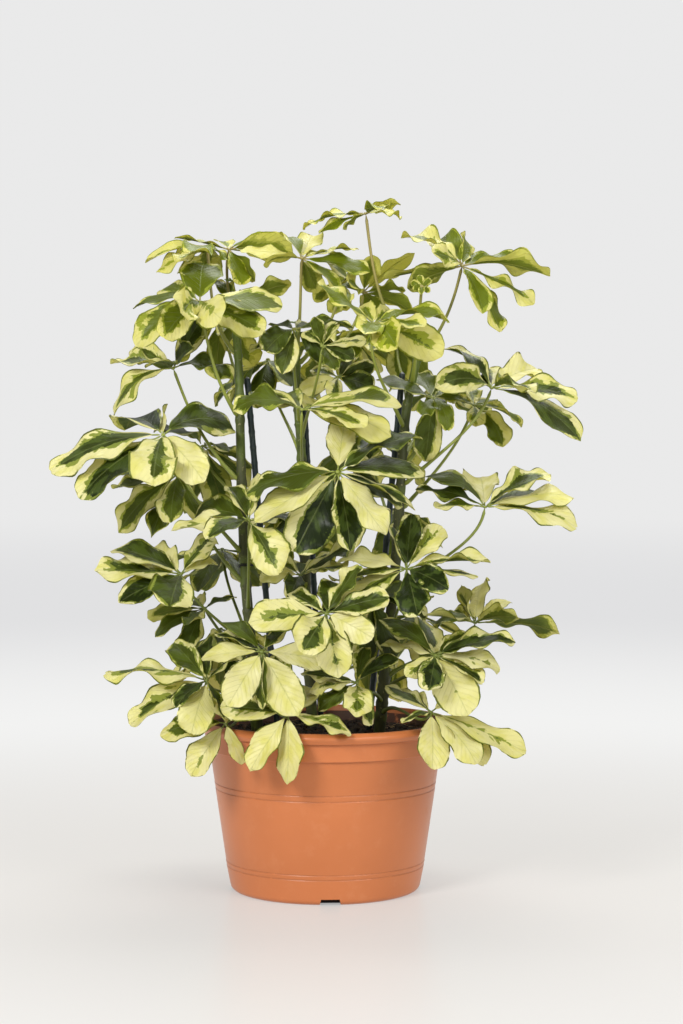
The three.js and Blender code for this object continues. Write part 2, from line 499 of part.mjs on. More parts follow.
// The rows of a leaflet's corners from its root to its tip, each with its left and right point and its
// normal, and its angle round the hub.
function leafletRows(leaf, leaflet, { lift, swing }) {
  const { index, hub, normal, down, across, longest } = leaf;
  const { k, reach, show } = leaflet;
  const angle = leaflet.angle + degToRad(swing);
  const out = down.clone().multiplyScalar(Math.cos(angle)).addScaledVector(across, Math.sin(angle));
  const side = new THREE.Vector3().crossVectors(normal, out);
  const fall = leaflet.fall - degToRad(lift);
  // A leaflet that lies level bends under its weight, and one that already hangs stays straight.
  const face = normal.clone().multiplyScalar(Math.cos(fall)).addScaledVector(out, Math.sin(fall));
  const bent = LEAFLET.curl * Math.max(face.z, 0.15) * (1 + VARY.curl * wobble(index + 70, k));
  const curl = degToRad(leaflet.curl ?? bent);
  const start = fall - curl / 2;
  const length = (reach * curl) / 2 / Math.sin(curl / 2);
  const broad = Math.max(1, Math.abs(show ?? 1)) * (1 + VARY.width * wobble(index + 10, k));
  const width = LEAFLET.width * length * broad;
  const roll = rollOf(leaflet, hub, face, side);
  const twist = degToRad(VARY.twist) * wobble(index + 30, k) * (leaflet.seen ? 0.6 : 1);
  const rows = (longest < LEAFLET.long ? SHORT_ROWS : LONG_ROWS).map(([u, share], row) => {
    const slope = start + curl * u;
    const middle = hub.clone();
    middle.addScaledVector(out, (length * (Math.sin(slope) - Math.sin(start))) / curl);
    middle.addScaledVector(normal, (length * (Math.cos(slope) - Math.cos(start))) / curl);
    const flat = normal.clone().multiplyScalar(Math.cos(slope)).addScaledVector(out, Math.sin(slope));
    // The roll is made along the leaflet's own thin foot, so its root still lies flat in the hub.
    const turn = roll * Math.min(1, u / LEAFLET.foot) + twist * u;
    const edge = side.clone().multiplyScalar(Math.cos(turn)).addScaledVector(flat, Math.sin(turn));
    const top = flat.clone().multiplyScalar(Math.cos(turn)).addScaledVector(side, -Math.sin(turn));
    const half = 0.5 * width * share;
    const wave = LEAFLET.wave * length * share * (row % 2 ? 1 : -1);
    return {
      left: middle.clone().addScaledVector(edge, half).addScaledVector(top, wave),
      right: middle.clone().addScaledVector(edge, -half).addScaledVector(top, -wave),
      face: top,
    };
  });
  return { angle, rows };
}

// One leaflet by itself, as a box bent to its rows.
function strip(rows) {
  const geometry = new THREE.BoxGeometry(1, 1, 1, rows.length - 1, 1, 1);
  const spots = geometry.attributes.position;
  for (let i = 0; i < spots.count; i += 1) {
    const row = rows[Math.round((spots.getX(i) + 0.5) * (rows.length - 1))];
    const p = (spots.getY(i) > 0 ? row.left : row.right).clone();
    p.addScaledVector(row.face, LEAFLET.thick * spots.getZ(i));
    spots.setXYZ(i, p.x, p.y, p.z);
  }
  return solidOf(geometry);
}

// A leaf's blade: one thin plate, cut to the hub between its leaflets.
function blade({ hub, normal }, leaflets) {
  const corners = [];
  const faces = [];
  // Each corner is a pair of points, on the upper skin and under it, and both skins get the same triangles.
  const corner = (p, face, thick) => {
    for (const end of [0.5, -0.5]) corners.push(p.clone().addScaledVector(face, end * thick));
    return corners.length - 2;
  };
  const skin = (a, b, c) => faces.push(a, b, c, c + 1, b + 1, a + 1);
  const wall = (a, b) => faces.push(a, a + 1, b + 1, a, b + 1, b);
  const middle = corner(hub, normal, HUB.thick);
  const notches = leaflets.map((rows, i) => {
    const before = leaflets.at(i - 1);
    const between = before[1].left.clone().add(rows[1].right).multiplyScalar(0.5).sub(hub);
    return corner(between.projectOnPlane(normal).setLength(HUB.radius).add(hub), normal, LEAFLET.thick);
  });
  leaflets.forEach((rows, i) => {
    let [right, left] = [notches[i], notches[(i + 1) % leaflets.length]];
    skin(middle, right, left);
    for (const row of rows.slice(1)) {
      const nextRight = corner(row.right, row.face, LEAFLET.thick);
      const nextLeft = corner(row.left, row.face, LEAFLET.thick);
      skin(right, nextRight, nextLeft);
      skin(right, nextLeft, left);
      wall(right, nextRight);
      wall(nextLeft, left);
      [right, left] = [nextRight, nextLeft];
    }
    wall(right, left);
  });
  return solidOf(new THREE.BufferGeometry().setFromPoints(corners).setIndex(faces));
}

const boxes = new Map();
function boxOf(solid) {
  if (!boxes.has(solid)) {
    const { min, max } = solid.boundingBox();
    boxes.set(solid, new THREE.Box3(point(min), point(max)));
  }
  return boxes.get(solid);
}

// True if a solid keeps the clearance from each of the others.
function isClear(solid, others) {
  const near = boxOf(solid).clone().expandByScalar(CLEAR);
  return others.every((o) => !near.intersectsBox(boxOf(o)) || solid.minGap(o, CLEAR) >= CLEAR);
}

// What is there before the leaves.
const stems = mapSides((side) => stem(side).add(bud(side)));
const canes = mapSides((side) => cane(side));
const bands = Object.keys(TIES).map((side) => tie(side));
const fixed = [pot(), soil(), ...Object.values(canes), ...bands];

// The stalks come first, each bowed as little as keeps it clear, and cut where it meets its stem.
const cutters = mapSides((side) => stem(side, FIT).add(bud(side, FIT)));
const stalks = [];
for (const leaf of LEAVES) {
  const others = [...fixed, ...stalks, ...Object.values(stems).filter((solid) => solid !== stems[leaf.side])];
  const tries = BOWS.map((bow) => stalk(leaf, bow).subtract(cutters[leaf.side]));
  stalks.push(tries.find((solid) => isClear(solid, others)) ?? tries[0]);
}

// Then the leaflets, first all whose tips are seen. Each is bent as little as keeps it clear of all that is
// there, and one that nothing clears is left off.
const hung = LEAVES.map(() => []);
const kept = LEAVES.map(() => []);
const sets = LEAVES.map(leafletsOf);
// How far apart two leaflets of a leaf are round its hub.
const apart = (a, b) => Math.acos(Math.cos(a.angle - b.angle));
for (const set of ["seen", "counted"]) {
  LEAVES.forEach((leaf, i) => {
    const away = LEAVES.flatMap((_, j) => (j === i ? [] : [stalks[j], ...hung[j]]));
    const others = [...fixed, ...Object.values(stems), ...away];
    for (const leaflet of sets[i][set]) {
      const own = [stalks[i], ...kept[i].map(({ rows }) => strip(rows.slice(1)))];
      const best = BENDS.map((bend) => leafletRows(leaf, leaflet, bend)).find((bent) => {
        if (kept[i].some((other) => apart(bent, other) < degToRad(HANG.apart))) return false;
        return isClear(strip(bent.rows), others) && isClear(strip(bent.rows.slice(1)), own);
      });
      if (!best) continue;
      kept[i].push(best);
      hung[i].push(strip(best.rows));
    }
  });
}
const turned360 = (angle) => ((angle % TURN) + TURN) % TURN;
const blades = LEAVES.map((leaf, i) => {
  const inOrder = kept[i].sort((a, b) => turned360(a.angle) - turned360(b.angle));
  return blade(leaf, inOrder.map(({ rows }) => rows));
});

const material = (color, roughness) => new THREE.MeshStandardMaterial({ color, roughness, metalness: 0 });
const terracotta = material(0xc4744a, 0.5);
const peat = material(0x2a1d15, 1);
const bark = material(0x6f7f1f, 0.6);
const lacquer = material(0x17221f, 0.4);
const rubber = material(0x151515, 0.6);
const foliage = material(0x9fae52, 0.45);

const plant = new THREE.Group();
plant.add(meshOf("pot", fixed[0], terracotta), meshOf("soil", fixed[1], peat));
for (const side of Object.keys(STEMS)) {
  plant.add(meshOf(`stem_${side}`, stems[side], bark), meshOf(`cane_${side}`, canes[side], lacquer));
}
Object.keys(TIES).forEach((side, i) => plant.add(meshOf(`tie_${side}`, bands[i], rubber)));
blades.forEach((solid, i) => {
  plant.add(meshOf(`leaf_${String(i + 1).padStart(2, "0")}`, solid.add(stalks[i]), foliage));
});

export default plant;
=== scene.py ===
# %% [markdown]
# # A potted umbrella plant
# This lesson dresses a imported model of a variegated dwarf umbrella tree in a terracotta-coloured nursery
# pot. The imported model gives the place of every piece. Each step replaces plain solids with finer ones of
# the same form and gives them their finish. All lengths are written in millimetres and turned into metres
# by MM.

# %% The frame
from math import acos, asin, atan2, copysign, cos, exp, floor, hypot, pi, radians, remainder, sin, sqrt
from math import tanh, tau
from types import SimpleNamespace

import bmesh
import bpy
from mathutils import Matrix, Vector, noise
from mathutils.kdtree import KDTree


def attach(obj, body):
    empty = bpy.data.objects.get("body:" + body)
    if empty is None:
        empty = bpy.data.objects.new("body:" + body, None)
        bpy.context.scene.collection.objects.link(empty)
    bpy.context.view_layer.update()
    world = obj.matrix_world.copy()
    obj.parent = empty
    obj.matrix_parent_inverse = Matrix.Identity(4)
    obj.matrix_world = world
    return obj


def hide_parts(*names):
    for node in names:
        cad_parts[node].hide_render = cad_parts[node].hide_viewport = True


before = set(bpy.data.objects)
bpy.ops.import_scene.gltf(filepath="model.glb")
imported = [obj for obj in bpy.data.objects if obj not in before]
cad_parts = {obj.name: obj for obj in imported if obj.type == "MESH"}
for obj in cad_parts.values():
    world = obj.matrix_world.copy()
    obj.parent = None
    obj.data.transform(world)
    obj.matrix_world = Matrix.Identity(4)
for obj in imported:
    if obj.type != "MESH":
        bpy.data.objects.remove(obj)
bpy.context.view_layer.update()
MM = 0.001
UP = Vector((0, 0, 1))
scene = bpy.context.scene
print("nodes in the frame:", len(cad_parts))

# %% [markdown]
# ## The camera
# The photo was taken from in front with a long lens, a little above the middle of the plant. The numbers
# below come from fitting the ellipses of the pot's lip, collar and base. A small sideways shift of the
# lens puts the pot left of the middle, as in the photo.

# %% Camera
CAMERA = SimpleNamespace(back=2500, height=480, pitch=2.16, focal_px=2450, pot_px=325.3)
FRAME_PX = (683, 1024)
SENSOR = 36


def photo_camera():
    """The camera of the photo, looking along +Y."""
    data = bpy.data.cameras.new("photo_camera")
    data.sensor_fit = "VERTICAL"
    data.sensor_height = SENSOR
    data.lens = CAMERA.focal_px * SENSOR / FRAME_PX[1]
    data.shift_x = (FRAME_PX[0] / 2 - CAMERA.pot_px) / FRAME_PX[1]
    camera = bpy.data.objects.new("photo_camera", data)
    camera.location = (0, -CAMERA.back * MM, CAMERA.height * MM)
    camera.rotation_euler = (radians(90 - CAMERA.pitch), 0, 0)
    scene.collection.objects.link(camera)
    scene.camera = camera
    return data.lens


print("lens in mm:", round(photo_camera(), 2))

# %% [markdown]
# ## Sockets that take part in sums
# A procedural material is a graph of small nodes. Writing it as sums keeps it readable, so a small class
# wraps a socket and overloads the operators that the materials below use. Every other node comes from one
# method, which takes the node's type, its settings and what goes into its sockets.

# %% Sockets


class Value:
    """A number that varies over a surface."""

    def __init__(self, finish, socket):
        self.finish = finish
        self.socket = socket

    def maths(self, operation, *inputs):
        return self.finish.add("ShaderNodeMath", {"operation": operation}, dict(enumerate(inputs)))

    def __add__(self, other):
        return self.maths("ADD", self, other)

    def __sub__(self, other):
        return self.maths("SUBTRACT", self, other)

    def __rsub__(self, other):
        return self.maths("SUBTRACT", other, self)

    def __mul__(self, other):
        return self.maths("MULTIPLY", self, other)

    __radd__ = __add__
    __rmul__ = __mul__

    def __abs__(self):
        return self.maths("ABSOLUTE", self)

    def most(self, other):
        return self.maths("MAXIMUM", self, other)

    def least(self, other):
        return self.maths("MINIMUM", self, other)

    def wave(self):
        """A sine of the value in whole turns, from 0 to 1."""
        return 0.5 + 0.5 * self.maths("SINE", self * tau)

    def step(self, low, high):
        """0 below low, 1 above high and a smooth rise between them."""
        inputs = {"Value": self, "From Min": low, "From Max": high}
        return self.finish.add("ShaderNodeMapRange", {"interpolation_type": "SMOOTHSTEP"}, inputs)


def linear(red, green, blue):
    """A colour read off a screen, from 0 to 255, as the shader needs it."""
    shares = [part / 255 for part in (red, green, blue)]
    return tuple(part / 12.92 if part <= 0.04 else ((part + 0.055) / 1.055) ** 2.4 for part in shares)


class Finish:
    """A material and the nodes that make it."""

    def __init__(self, name):
        self.material = bpy.data.materials.new(name)
        self.material.use_nodes = True
        self.tree = self.material.node_tree
        self.tree.nodes.clear()

    def add(self, kind, settings=None, inputs=None, output=0):
        node = self.tree.nodes.new(kind)
        for key, value in (settings or {}).items():
            setattr(node, key, value)
        for key, value in (inputs or {}).items():
            if isinstance(value, Value):
                self.tree.links.new(value.socket, node.inputs[key])
            elif isinstance(value, tuple) and len(value) == 3 and len(node.inputs[key].default_value) == 4:
                node.inputs[key].default_value = (*value, 1)
            else:
                node.inputs[key].default_value = value
        return Value(self, node.outputs[output]) if node.outputs else None

    def mix(self, factor, first, second):
        """The first colour where the factor is 0, and the second where it is 1."""
        return self.add("ShaderNodeMix", {"data_type": "RGBA"}, {0: factor, 6: first, 7: second}, 2)

    def map(self, name):
        """The two numbers of a UV map."""
        parts = self.add("ShaderNodeSeparateXYZ", {}, {0: self.add("ShaderNodeUVMap", {"uv_map": name})})
        return parts, Value(self, parts.socket.node.outputs[1])

    def place(self):
        """The point's place in the plant's frame, in metres."""
        return self.add("ShaderNodeTexCoord", {}, {}, 3)

    def height(self, place):
        return self.add("ShaderNodeSeparateXYZ", {}, {0: place}, 2)

    def stretched(self, place, share):
        """The place with its height made smaller, which draws a noise out along stems and canes."""
        return self.add("ShaderNodeMapping", {}, {"Vector": place, "Scale": (1, 1, share)})

    def grain(self, vector, scale, detail=2.0, roughness=0.5):
        """Noise from 0 to 1."""
        inputs = {"Vector": vector, "Scale": scale, "Detail": detail, "Roughness": roughness}
        return self.add("ShaderNodeTexNoise", {}, inputs)

    def vector(self, x, y, z):
        return self.add("ShaderNodeCombineXYZ", {}, {0: x, 1: y, 2: z})

    def bump(self, height, distance):
        return self.add("ShaderNodeBump", {}, {"Height": height, "Distance": distance * MM})

    def surface(self, **inputs):
        named = {key.replace("_", " "): value for key, value in inputs.items()}
        return self.add("ShaderNodeBsdfPrincipled", {}, named)

    def done(self, shader):
        self.add("ShaderNodeOutputMaterial", {}, {0: shader})
        return self.material

    def coat(self, **inputs):
        """The finished material, where it is one plain surface."""
        return self.done(self.surface(**inputs))


def speckled(name, specks, dark, light, roughness, relief=0):
    """A material of two colours mixed by one noise, which may also raise its surface by some millimetres."""
    finish = Finish(name)
    grain = finish.grain(finish.place(), *specks)
    colour = finish.mix(grain, linear(*dark), linear(*light))
    raised = {"Normal": finish.bump(grain, relief)} if relief else {}
    return finish.coat(Base_Color=colour, Roughness=roughness, **raised)


# %% [markdown]
# ## Floor, backdrop and light
# The plant stands on a pale cream table in front of a pale grey wall. One wide floor does for both: it is
# cream round the pot, then bright, then a darker band, and takes the wall's colour furthest out, so that
# it has no visible end from any side. Each pair of numbers says where one of these turns into the next, in
# metres. Round the pot the table also glows a little, which is painted light that lifts its shadows. Two
# large soft boxes stand in front, the left one stronger and sharper, and a third hangs above and behind.

# %% Floor
STAGE = SimpleNamespace(radius=12, sides=96, painted_fill_glow=0.42, backdrop=0.97, ambient=0.52)
CREAM_TABLE, BRIGHT, BAND = linear(213, 208, 201), linear(246, 246, 245), linear(228, 228, 229)
WALL = linear(237, 237, 237)
TABLE_END, BRIGHT_END, BAND_END = (0.3, 1.5), (1.2, 3.6), (4, 10)


def table_and_wall():
    mesh = bpy.data.meshes.new("floor")
    bm = bmesh.new()
    bmesh.ops.create_circle(bm, cap_ends=True, segments=STAGE.sides, radius=STAGE.radius)
    bm.to_mesh(mesh)
    bm.free()
    table = bpy.data.objects.new("floor", mesh)
    scene.collection.objects.link(table)
    finish = Finish("table_and_wall")
    away = finish.add("ShaderNodeVectorMath", {"operation": "LENGTH"}, {0: finish.place()}, 1)
    lacquer = finish.surface(Base_Color=CREAM_TABLE, Roughness=0.3)
    shade = finish.mix(away.step(*BRIGHT_END), BRIGHT, BAND)
    shade = finish.mix(away.step(*BAND_END), shade, WALL)
    glow = finish.add("ShaderNodeEmission", {}, {"Color": shade, "Strength": STAGE.backdrop})
    # Near the pot the table keeps this much glow: painted light that lifts the shadows on it.
    share = away.step(*TABLE_END) * (1 - STAGE.painted_fill_glow) + STAGE.painted_fill_glow
    mesh.materials.append(finish.done(finish.add("ShaderNodeMixShader", {}, {0: share, 1: lacquer, 2: glow})))


def backdrop():
    """The wall as the camera sees it, with less light from it on the plant."""
    world = bpy.data.worlds.new("backdrop")
    world.use_nodes = True
    scene.world = world
    tree = world.node_tree
    shader = tree.nodes["Background"]
    shader.inputs["Color"].default_value = (*WALL, 1)
    path = tree.nodes.new("ShaderNodeLightPath")
    strength = tree.nodes.new("ShaderNodeMapRange")
    strength.inputs["To Min"].default_value = STAGE.ambient
    strength.inputs["To Max"].default_value = STAGE.backdrop
    tree.links.new(path.outputs["Is Camera Ray"], strength.inputs["Value"])
    tree.links.new(strength.outputs["Result"], shader.inputs["Strength"])


table_and_wall()
backdrop()
scene.view_settings.view_transform = "Standard"
print("floor radius in m:", STAGE.radius)

# %% Light
SOFT_BOXES = {
    "left_box": SimpleNamespace(place=(-1150, -1850, 1450), size=700, watts=42),
    "right_box": SimpleNamespace(place=(1300, -1650, 1350), size=1300, watts=24),
    "top_box": SimpleNamespace(place=(200, 900, 1900), size=1200, watts=28),
}
AIM = Vector((0, 0, 380)) * MM

for name, box in SOFT_BOXES.items():
    data = bpy.data.lights.new(name, "AREA")
    data.size = box.size * MM
    data.energy = box.watts
    light = bpy.data.objects.new(name, data)
    light.location = Vector(box.place) * MM
    light.rotation_euler = (AIM - light.location).to_track_quat("-Z", "Y").to_euler()
    scene.collection.objects.link(light)
print("soft boxes:", len(SOFT_BOXES))

# %% [markdown]
# ## The helper that finishes a piece
# Each piece below is made in its own bmesh. One helper turns it into an object at the origin, smooths it
# but for its sharp edges, gives it its materials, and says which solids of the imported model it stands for.

# %% Pieces


def piece(name, bm, materials, replaces, sharp=40):
    """An object of the plant, from its bmesh."""
    mesh = bpy.data.meshes.new(name)
    bm.to_mesh(mesh)
    bm.free()
    mesh.shade_smooth()
    mesh.set_sharp_from_angle(angle=radians(sharp))
    for material in materials:
        mesh.materials.append(material)
    made = bpy.data.objects.new(name, mesh)
    scene.collection.objects.link(made)
    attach(made, "root")
    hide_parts(*replaces)
    return made


def triangles(made):
    return sum(len(polygon.vertices) - 2 for polygon in made.data.polygons)


# %% [markdown]
# ## The pot
# The pot is moulded from one plastic: a conical wall, a collar that stands proud below the lip, and a
# rolled lip. Everything but its drain notches is round, so its profile is a row of points spun about the
# axis. Two pairs of fine grooves run round the wall. The notches are cut afterwards by a Boolean with four
# small blocks.

# %% Pot
POT = SimpleNamespace(height=174, rim=130, base=97.4, flare=0.144, wall=2.8, floor=3.2, segments=160)
COLLAR = SimpleNamespace(low=145.2, high=163.2, proud=3)
GROOVES = (25.6, 30.5, 105, 111)
GROOVE = SimpleNamespace(deep=0.3, wide=0.8, flat=0.2)
ROUND = SimpleNamespace(foot=6.6, lip=3.4, collar=0.8)
NOTCH = SimpleNamespace(wide=21, top=18.5, deep=16, tall=6.2, count=4, turn=3)


def pot_radius(z):
    return POT.base + POT.flare * z


def arc(x, z, radius, start, end, steps):
    """Points on an arc from start to end, in degrees."""
    turns = [radians(start + (end - start) * i / steps) for i in range(steps + 1)]
    return [(x + radius * cos(turn), z + radius * sin(turn)) for turn in turns]


def groove(z):
    """Four points across a groove, from just outside the wall down to its flat floor and out again."""
    steps = ((0.05, -1), (-GROOVE.deep, -GROOVE.flat), (-GROOVE.deep, GROOVE.flat), (0.05, 1))
    return [(pot_radius(z) + out, z + share * GROOVE.wide) for out, share in steps]


def pot_profile():
    """The pot's outline from the middle of its base, up its outside and down its inside."""
    outside = [(0, 0), (40, 0), (POT.base - 9, 0)]
    outside += arc(POT.base - ROUND.foot, ROUND.foot, ROUND.foot, -84, -6, 8)
    for height in GROOVES:
        outside += groove(height)
    under = pot_radius(COLLAR.low)
    above = pot_radius(COLLAR.high) + COLLAR.proud
    outside += [(under, COLLAR.low - 0.6), (under + 0.3, COLLAR.low)]
    outside += arc(under + COLLAR.proud - ROUND.collar, COLLAR.low + 0.9, ROUND.collar, -80, 10, 4)
    outside += [(above, COLLAR.high - 0.4), (above + 0.5, COLLAR.high)]
    lip = [(POT.rim - 2.2, COLLAR.high + 0.7)]
    lip += arc(POT.rim - ROUND.lip, POT.height - 5.2, ROUND.lip, -40, 40, 8)
    lip += arc(POT.rim - 5.2, POT.height - ROUND.lip, ROUND.lip, 50, 150, 8)
    inside = [(POT.rim - 9, POT.height - 6), (under - POT.wall, COLLAR.low - 2)]
    inside += [(pot_radius(12) - POT.wall, 12), (POT.base - 10, POT.floor), (0, POT.floor)]
    return outside + lip + inside


def spun(profile, segments):
    """A closed solid from a profile that starts and ends on the axis."""
    bm = bmesh.new()
    points = [bm.verts.new((r * MM, 0, z * MM)) for r, z in profile]
    edges = [bm.edges.new(pair) for pair in zip(points, points[1:])]
    turn = {"cent": (0, 0, 0), "axis": UP, "angle": tau, "steps": segments, "use_merge": True}
    bmesh.ops.spin(bm, geom=points + edges, **turn)
    bmesh.ops.remove_doubles(bm, verts=bm.verts, dist=0.001 * MM)
    bmesh.ops.recalc_face_normals(bm, faces=bm.faces)
    return bm


def notch_blocks():
    """Four blocks that are narrower at the top, each across the rim of the base."""
    bm = bmesh.new()
    for i in range(NOTCH.count):
        block = bmesh.ops.create_cube(bm, size=1)["verts"]
        for corner in block:
            x, y, z = corner.co
            wide = NOTCH.top if z > 0 else 2 * NOTCH.wide - NOTCH.top
            corner.co = (x * wide, y * 2 * NOTCH.deep - POT.base, z * 2 * NOTCH.tall)
        turn = Matrix.Rotation(radians(NOTCH.turn + 360 * i / NOTCH.count), 4, "Z")
        bmesh.ops.transform(bm, matrix=Matrix.Scale(MM, 4) @ turn, verts=block)
    return bm


def cut(bm, blocks):
    """The first bmesh less the second, by a Boolean modifier that is then applied."""
    solids = []
    for source in (bm, blocks):
        mesh = bpy.data.meshes.new("solid")
        source.to_mesh(mesh)
        source.free()
        solids.append(bpy.data.objects.new("solid", mesh))
        scene.collection.objects.link(solids[-1])
    modifier = solids[0].modifiers.new("notches", "BOOLEAN")
    modifier.operation = "DIFFERENCE"
    modifier.solver = "EXACT"
    modifier.object = solids[1]
    result = bmesh.new()
    result.from_object(solids[0], bpy.context.evaluated_depsgraph_get())
    for solid in solids:
        bpy.data.objects.remove(solid)
    return result


# %% [markdown]
# The plastic is satin and nearly even. Moulding leaves faint clouds in its colour and a very fine grain,
# and handling leaves a few duller patches. Dark specks on the inside above the soil are painted shade,
# and fainter specks in the grooves are painted shade too. The notches' faces are painted nearly black,
# as painted shade for the hollow under a real pot.

# %% Terracotta plastic


def terracotta(name, painted_shade_strength):
    finish = Finish(name)
    place = finish.place()
    clouds = finish.grain(place, 14, 3)
    grain = finish.grain(place, 900, 2)
    scuffs = finish.grain(place, 60, 5, 0.65).step(0.52, 0.75)
    crumbs = finish.grain(place, 90, 4, 0.7).step(0.28, 0.5)
    colour = finish.mix(clouds, linear(188, 109, 62), linear(203, 121, 72))
    colour = finish.mix(scuffs * 0.25, colour, linear(206, 134, 90))
    # Dark specks of painted shade, strong on the inner wall and faint in the grooves.
    colour = finish.mix(crumbs * painted_shade_strength, colour, linear(52, 34, 24))
    rough = scuffs * 0.14 + 0.34
    relief = finish.bump(grain + clouds * 3, 0.05)
    return finish.coat(Base_Color=colour, Roughness=rough, Normal=relief, Specular_IOR_Level=0.4)


# The plastic is also copied with painted shade: heavy specks for the inner wall, faint ones for the grooves.
PLASTICS = [
    terracotta("terracotta_plastic", 0),
    # Near-black painted shade for the faces inside the notches.
    speckled("notch_shade", (400, 3), (16, 9, 6), (34, 20, 13), 0.9),
    terracotta("inner_wall_painted_shade", 0.9),
    terracotta("groove_painted_shade", 0.22),
]
CLEAN, PAINTED_NOTCH_SHADE, PAINTED_INNER_SHADE, PAINTED_GROOVE_SHADE = range(4)
INWARD = -0.3


def plastic_of(face):
    """The number of a face's plastic: painted shade in the notches, on the inside and in the grooves."""
    spot = face.calc_center_median() / MM
    out = Vector((spot.x, spot.y, 0)).normalized()
    radius = Vector((spot.x, spot.y)).length
    facing = face.normal.dot(out)
    aside = abs(face.normal.dot(UP.cross(out))) > 0.6
    behind = radius < POT.base - 8 and spot.z > 0.3 and abs(face.normal.z) < 0.5
    above = face.normal.z < -0.9 and spot.z > 4
    # Faces inside a notch get near-black painted shade.
    if spot.z < NOTCH.tall + 0.5 and (aside or behind or above):
        return PAINTED_NOTCH_SHADE
    # Groove faces get faint painted shade, and faces that look inwards get the inner wall's heavier painted
    # shade.
    grooved = any(abs(spot.z - height) < GROOVE.wide for height in GROOVES)
    if grooved and radius < pot_radius(spot.z) - 0.05:
        return PAINTED_GROOVE_SHADE if facing > 0 else PAINTED_INNER_SHADE
    return PAINTED_INNER_SHADE if facing < INWARD and spot.z < POT.height - 5 else CLEAN


pot_mesh = cut(spun(pot_profile(), POT.segments), notch_blocks())
for face in pot_mesh.faces:
    face.material_index = plastic_of(face)
pot = piece("nursery_pot", pot_mesh, PLASTICS, ["pot"], 30)
print("pot triangles:", triangles(pot))

# %% [markdown]
# ## Tubes
# Stems, canes, leaf stalks and roots are all round and bent. A plane grid rolled up along a path makes
# such a tube: one side of the grid runs round it and the other along it. The path is a function from 0 to
# 1 that gives a point, and the radius is one that gives millimetres. Where the radius is 0 the end closes
# in a pole.

# %% Tubes


def frames(path, along):
    """For each step of a path, its point and two directions across it that don't spin as it bends."""
    spots = [path(i / along) for i in range(along + 1)]
    across = (spots[1] - spots[0]).orthogonal().normalized()
    found = []
    for i, spot in enumerate(spots):
        ahead = (spots[min(i + 1, along)] - spots[max(i - 1, 0)]).normalized()
        across = (across - ahead * across.dot(ahead)).normalized()
        found.append((spot, across, ahead.cross(across)))
    return found


WELD = 0.005 * MM


def faces_of(verts):
    return {face for vert in verts for face in vert.link_faces}


def sheet(bm, around, along):
    """A flat grid, half a metre each way from its middle, to be rolled up: its points and faces."""
    grid = bmesh.ops.create_grid(bm, x_segments=around, y_segments=along, size=0.5)["verts"]
    return grid, faces_of(grid)


def tube(bm, path, radius, around, along, slot=0, paint=None):
    """A closed tube in a bmesh, in material slot number slot. paint writes the UV maps of its faces."""
    steps = frames(path, along)
    grid, faces = sheet(bm, around, along)
    for face in faces:
        face.material_index = slot
    if paint:
        paint(faces)
    for vert in grid:
        t = vert.co.y + 0.5
        turn = tau * (vert.co.x + 0.5)
        spot, across, other = steps[round(t * along)]
        wide = 0 if round(t * along) in (0, along) else radius(t)
        vert.co = (spot + (across * cos(turn) + other * sin(turn)) * wide) * MM
    bmesh.ops.remove_doubles(bm, verts=grid, dist=WELD)


def between(a, b, t):
    return a + (b - a) * t


# %% [markdown]
# ## The soil
# Potting soil is dark peat that has been watered and has settled a little under the lip. A fine grid
# pushed into a disc gives its surface, low mounds come from slow noise and crumbs from quick noise. Loose
# crumbs and bits of bark lie on it, and a few pale roots run over it. Nothing here is random: every place
# comes from a seeded rule.

# %% The soil's surface
SOIL = SimpleNamespace(top=158, rim=154, corner=12.5, floor=5, mound=4, crumb=1.6, slack=1.2)
SOIL.rings, SOIL.sides = 64, 128
BITS = SimpleNamespace(count=620, small=1.1, more=1.5, bark_every=4, edge=0.985)
ROOTS = SimpleNamespace(count=9, away=70, length=38, radius=0.42, around=5, along=14)


def wobble(a, b):
    """A repeatable number from -1 to 1 for a pair of counts."""
    s = sin(a * 12.9898 + b * 78.233) * 43758.5453
    return 2 * (s - floor(s)) - 1


def soil_radius(z):
    return pot_radius(z) - POT.wall - SOIL.slack


def soil_height(x, y):
    """The height of the soil's surface in mm."""
    middle = max(0, 1 - hypot(x, y) / soil_radius(SOIL.top))
    waves = sin(0.21 * x + 1) * cos(0.17 * y) + 0.6 * sin(0.4 * x - 0.33 * y)
    crumbs = noise.noise(Vector((x, y, 3)) * 0.22) * 1.3 + noise.noise(Vector((x, y, 9)) * 0.6) * 0.9
    return SOIL.top + SOIL.mound * middle + 0.7 * SOIL.crumb * waves + crumbs


def soil_block():
    """The whole filling: a spun profile whose top is then roughened."""
    edge = soil_radius(SOIL.rim)
    foot = [(0, SOIL.floor), (POT.base - 14, SOIL.floor), (soil_radius(SOIL.corner), SOIL.corner)]
    top = [(edge * (1 - i / SOIL.rings), SOIL.top) for i in range(SOIL.rings + 1)]
    bm = spun([*foot, (edge, SOIL.rim), *top], SOIL.sides)
    for vert in bm.verts:
        if vert.co.z > (SOIL.top - 1) * MM:
            vert.co.z = soil_height(vert.co.x / MM, vert.co.y / MM) * MM
    return bm


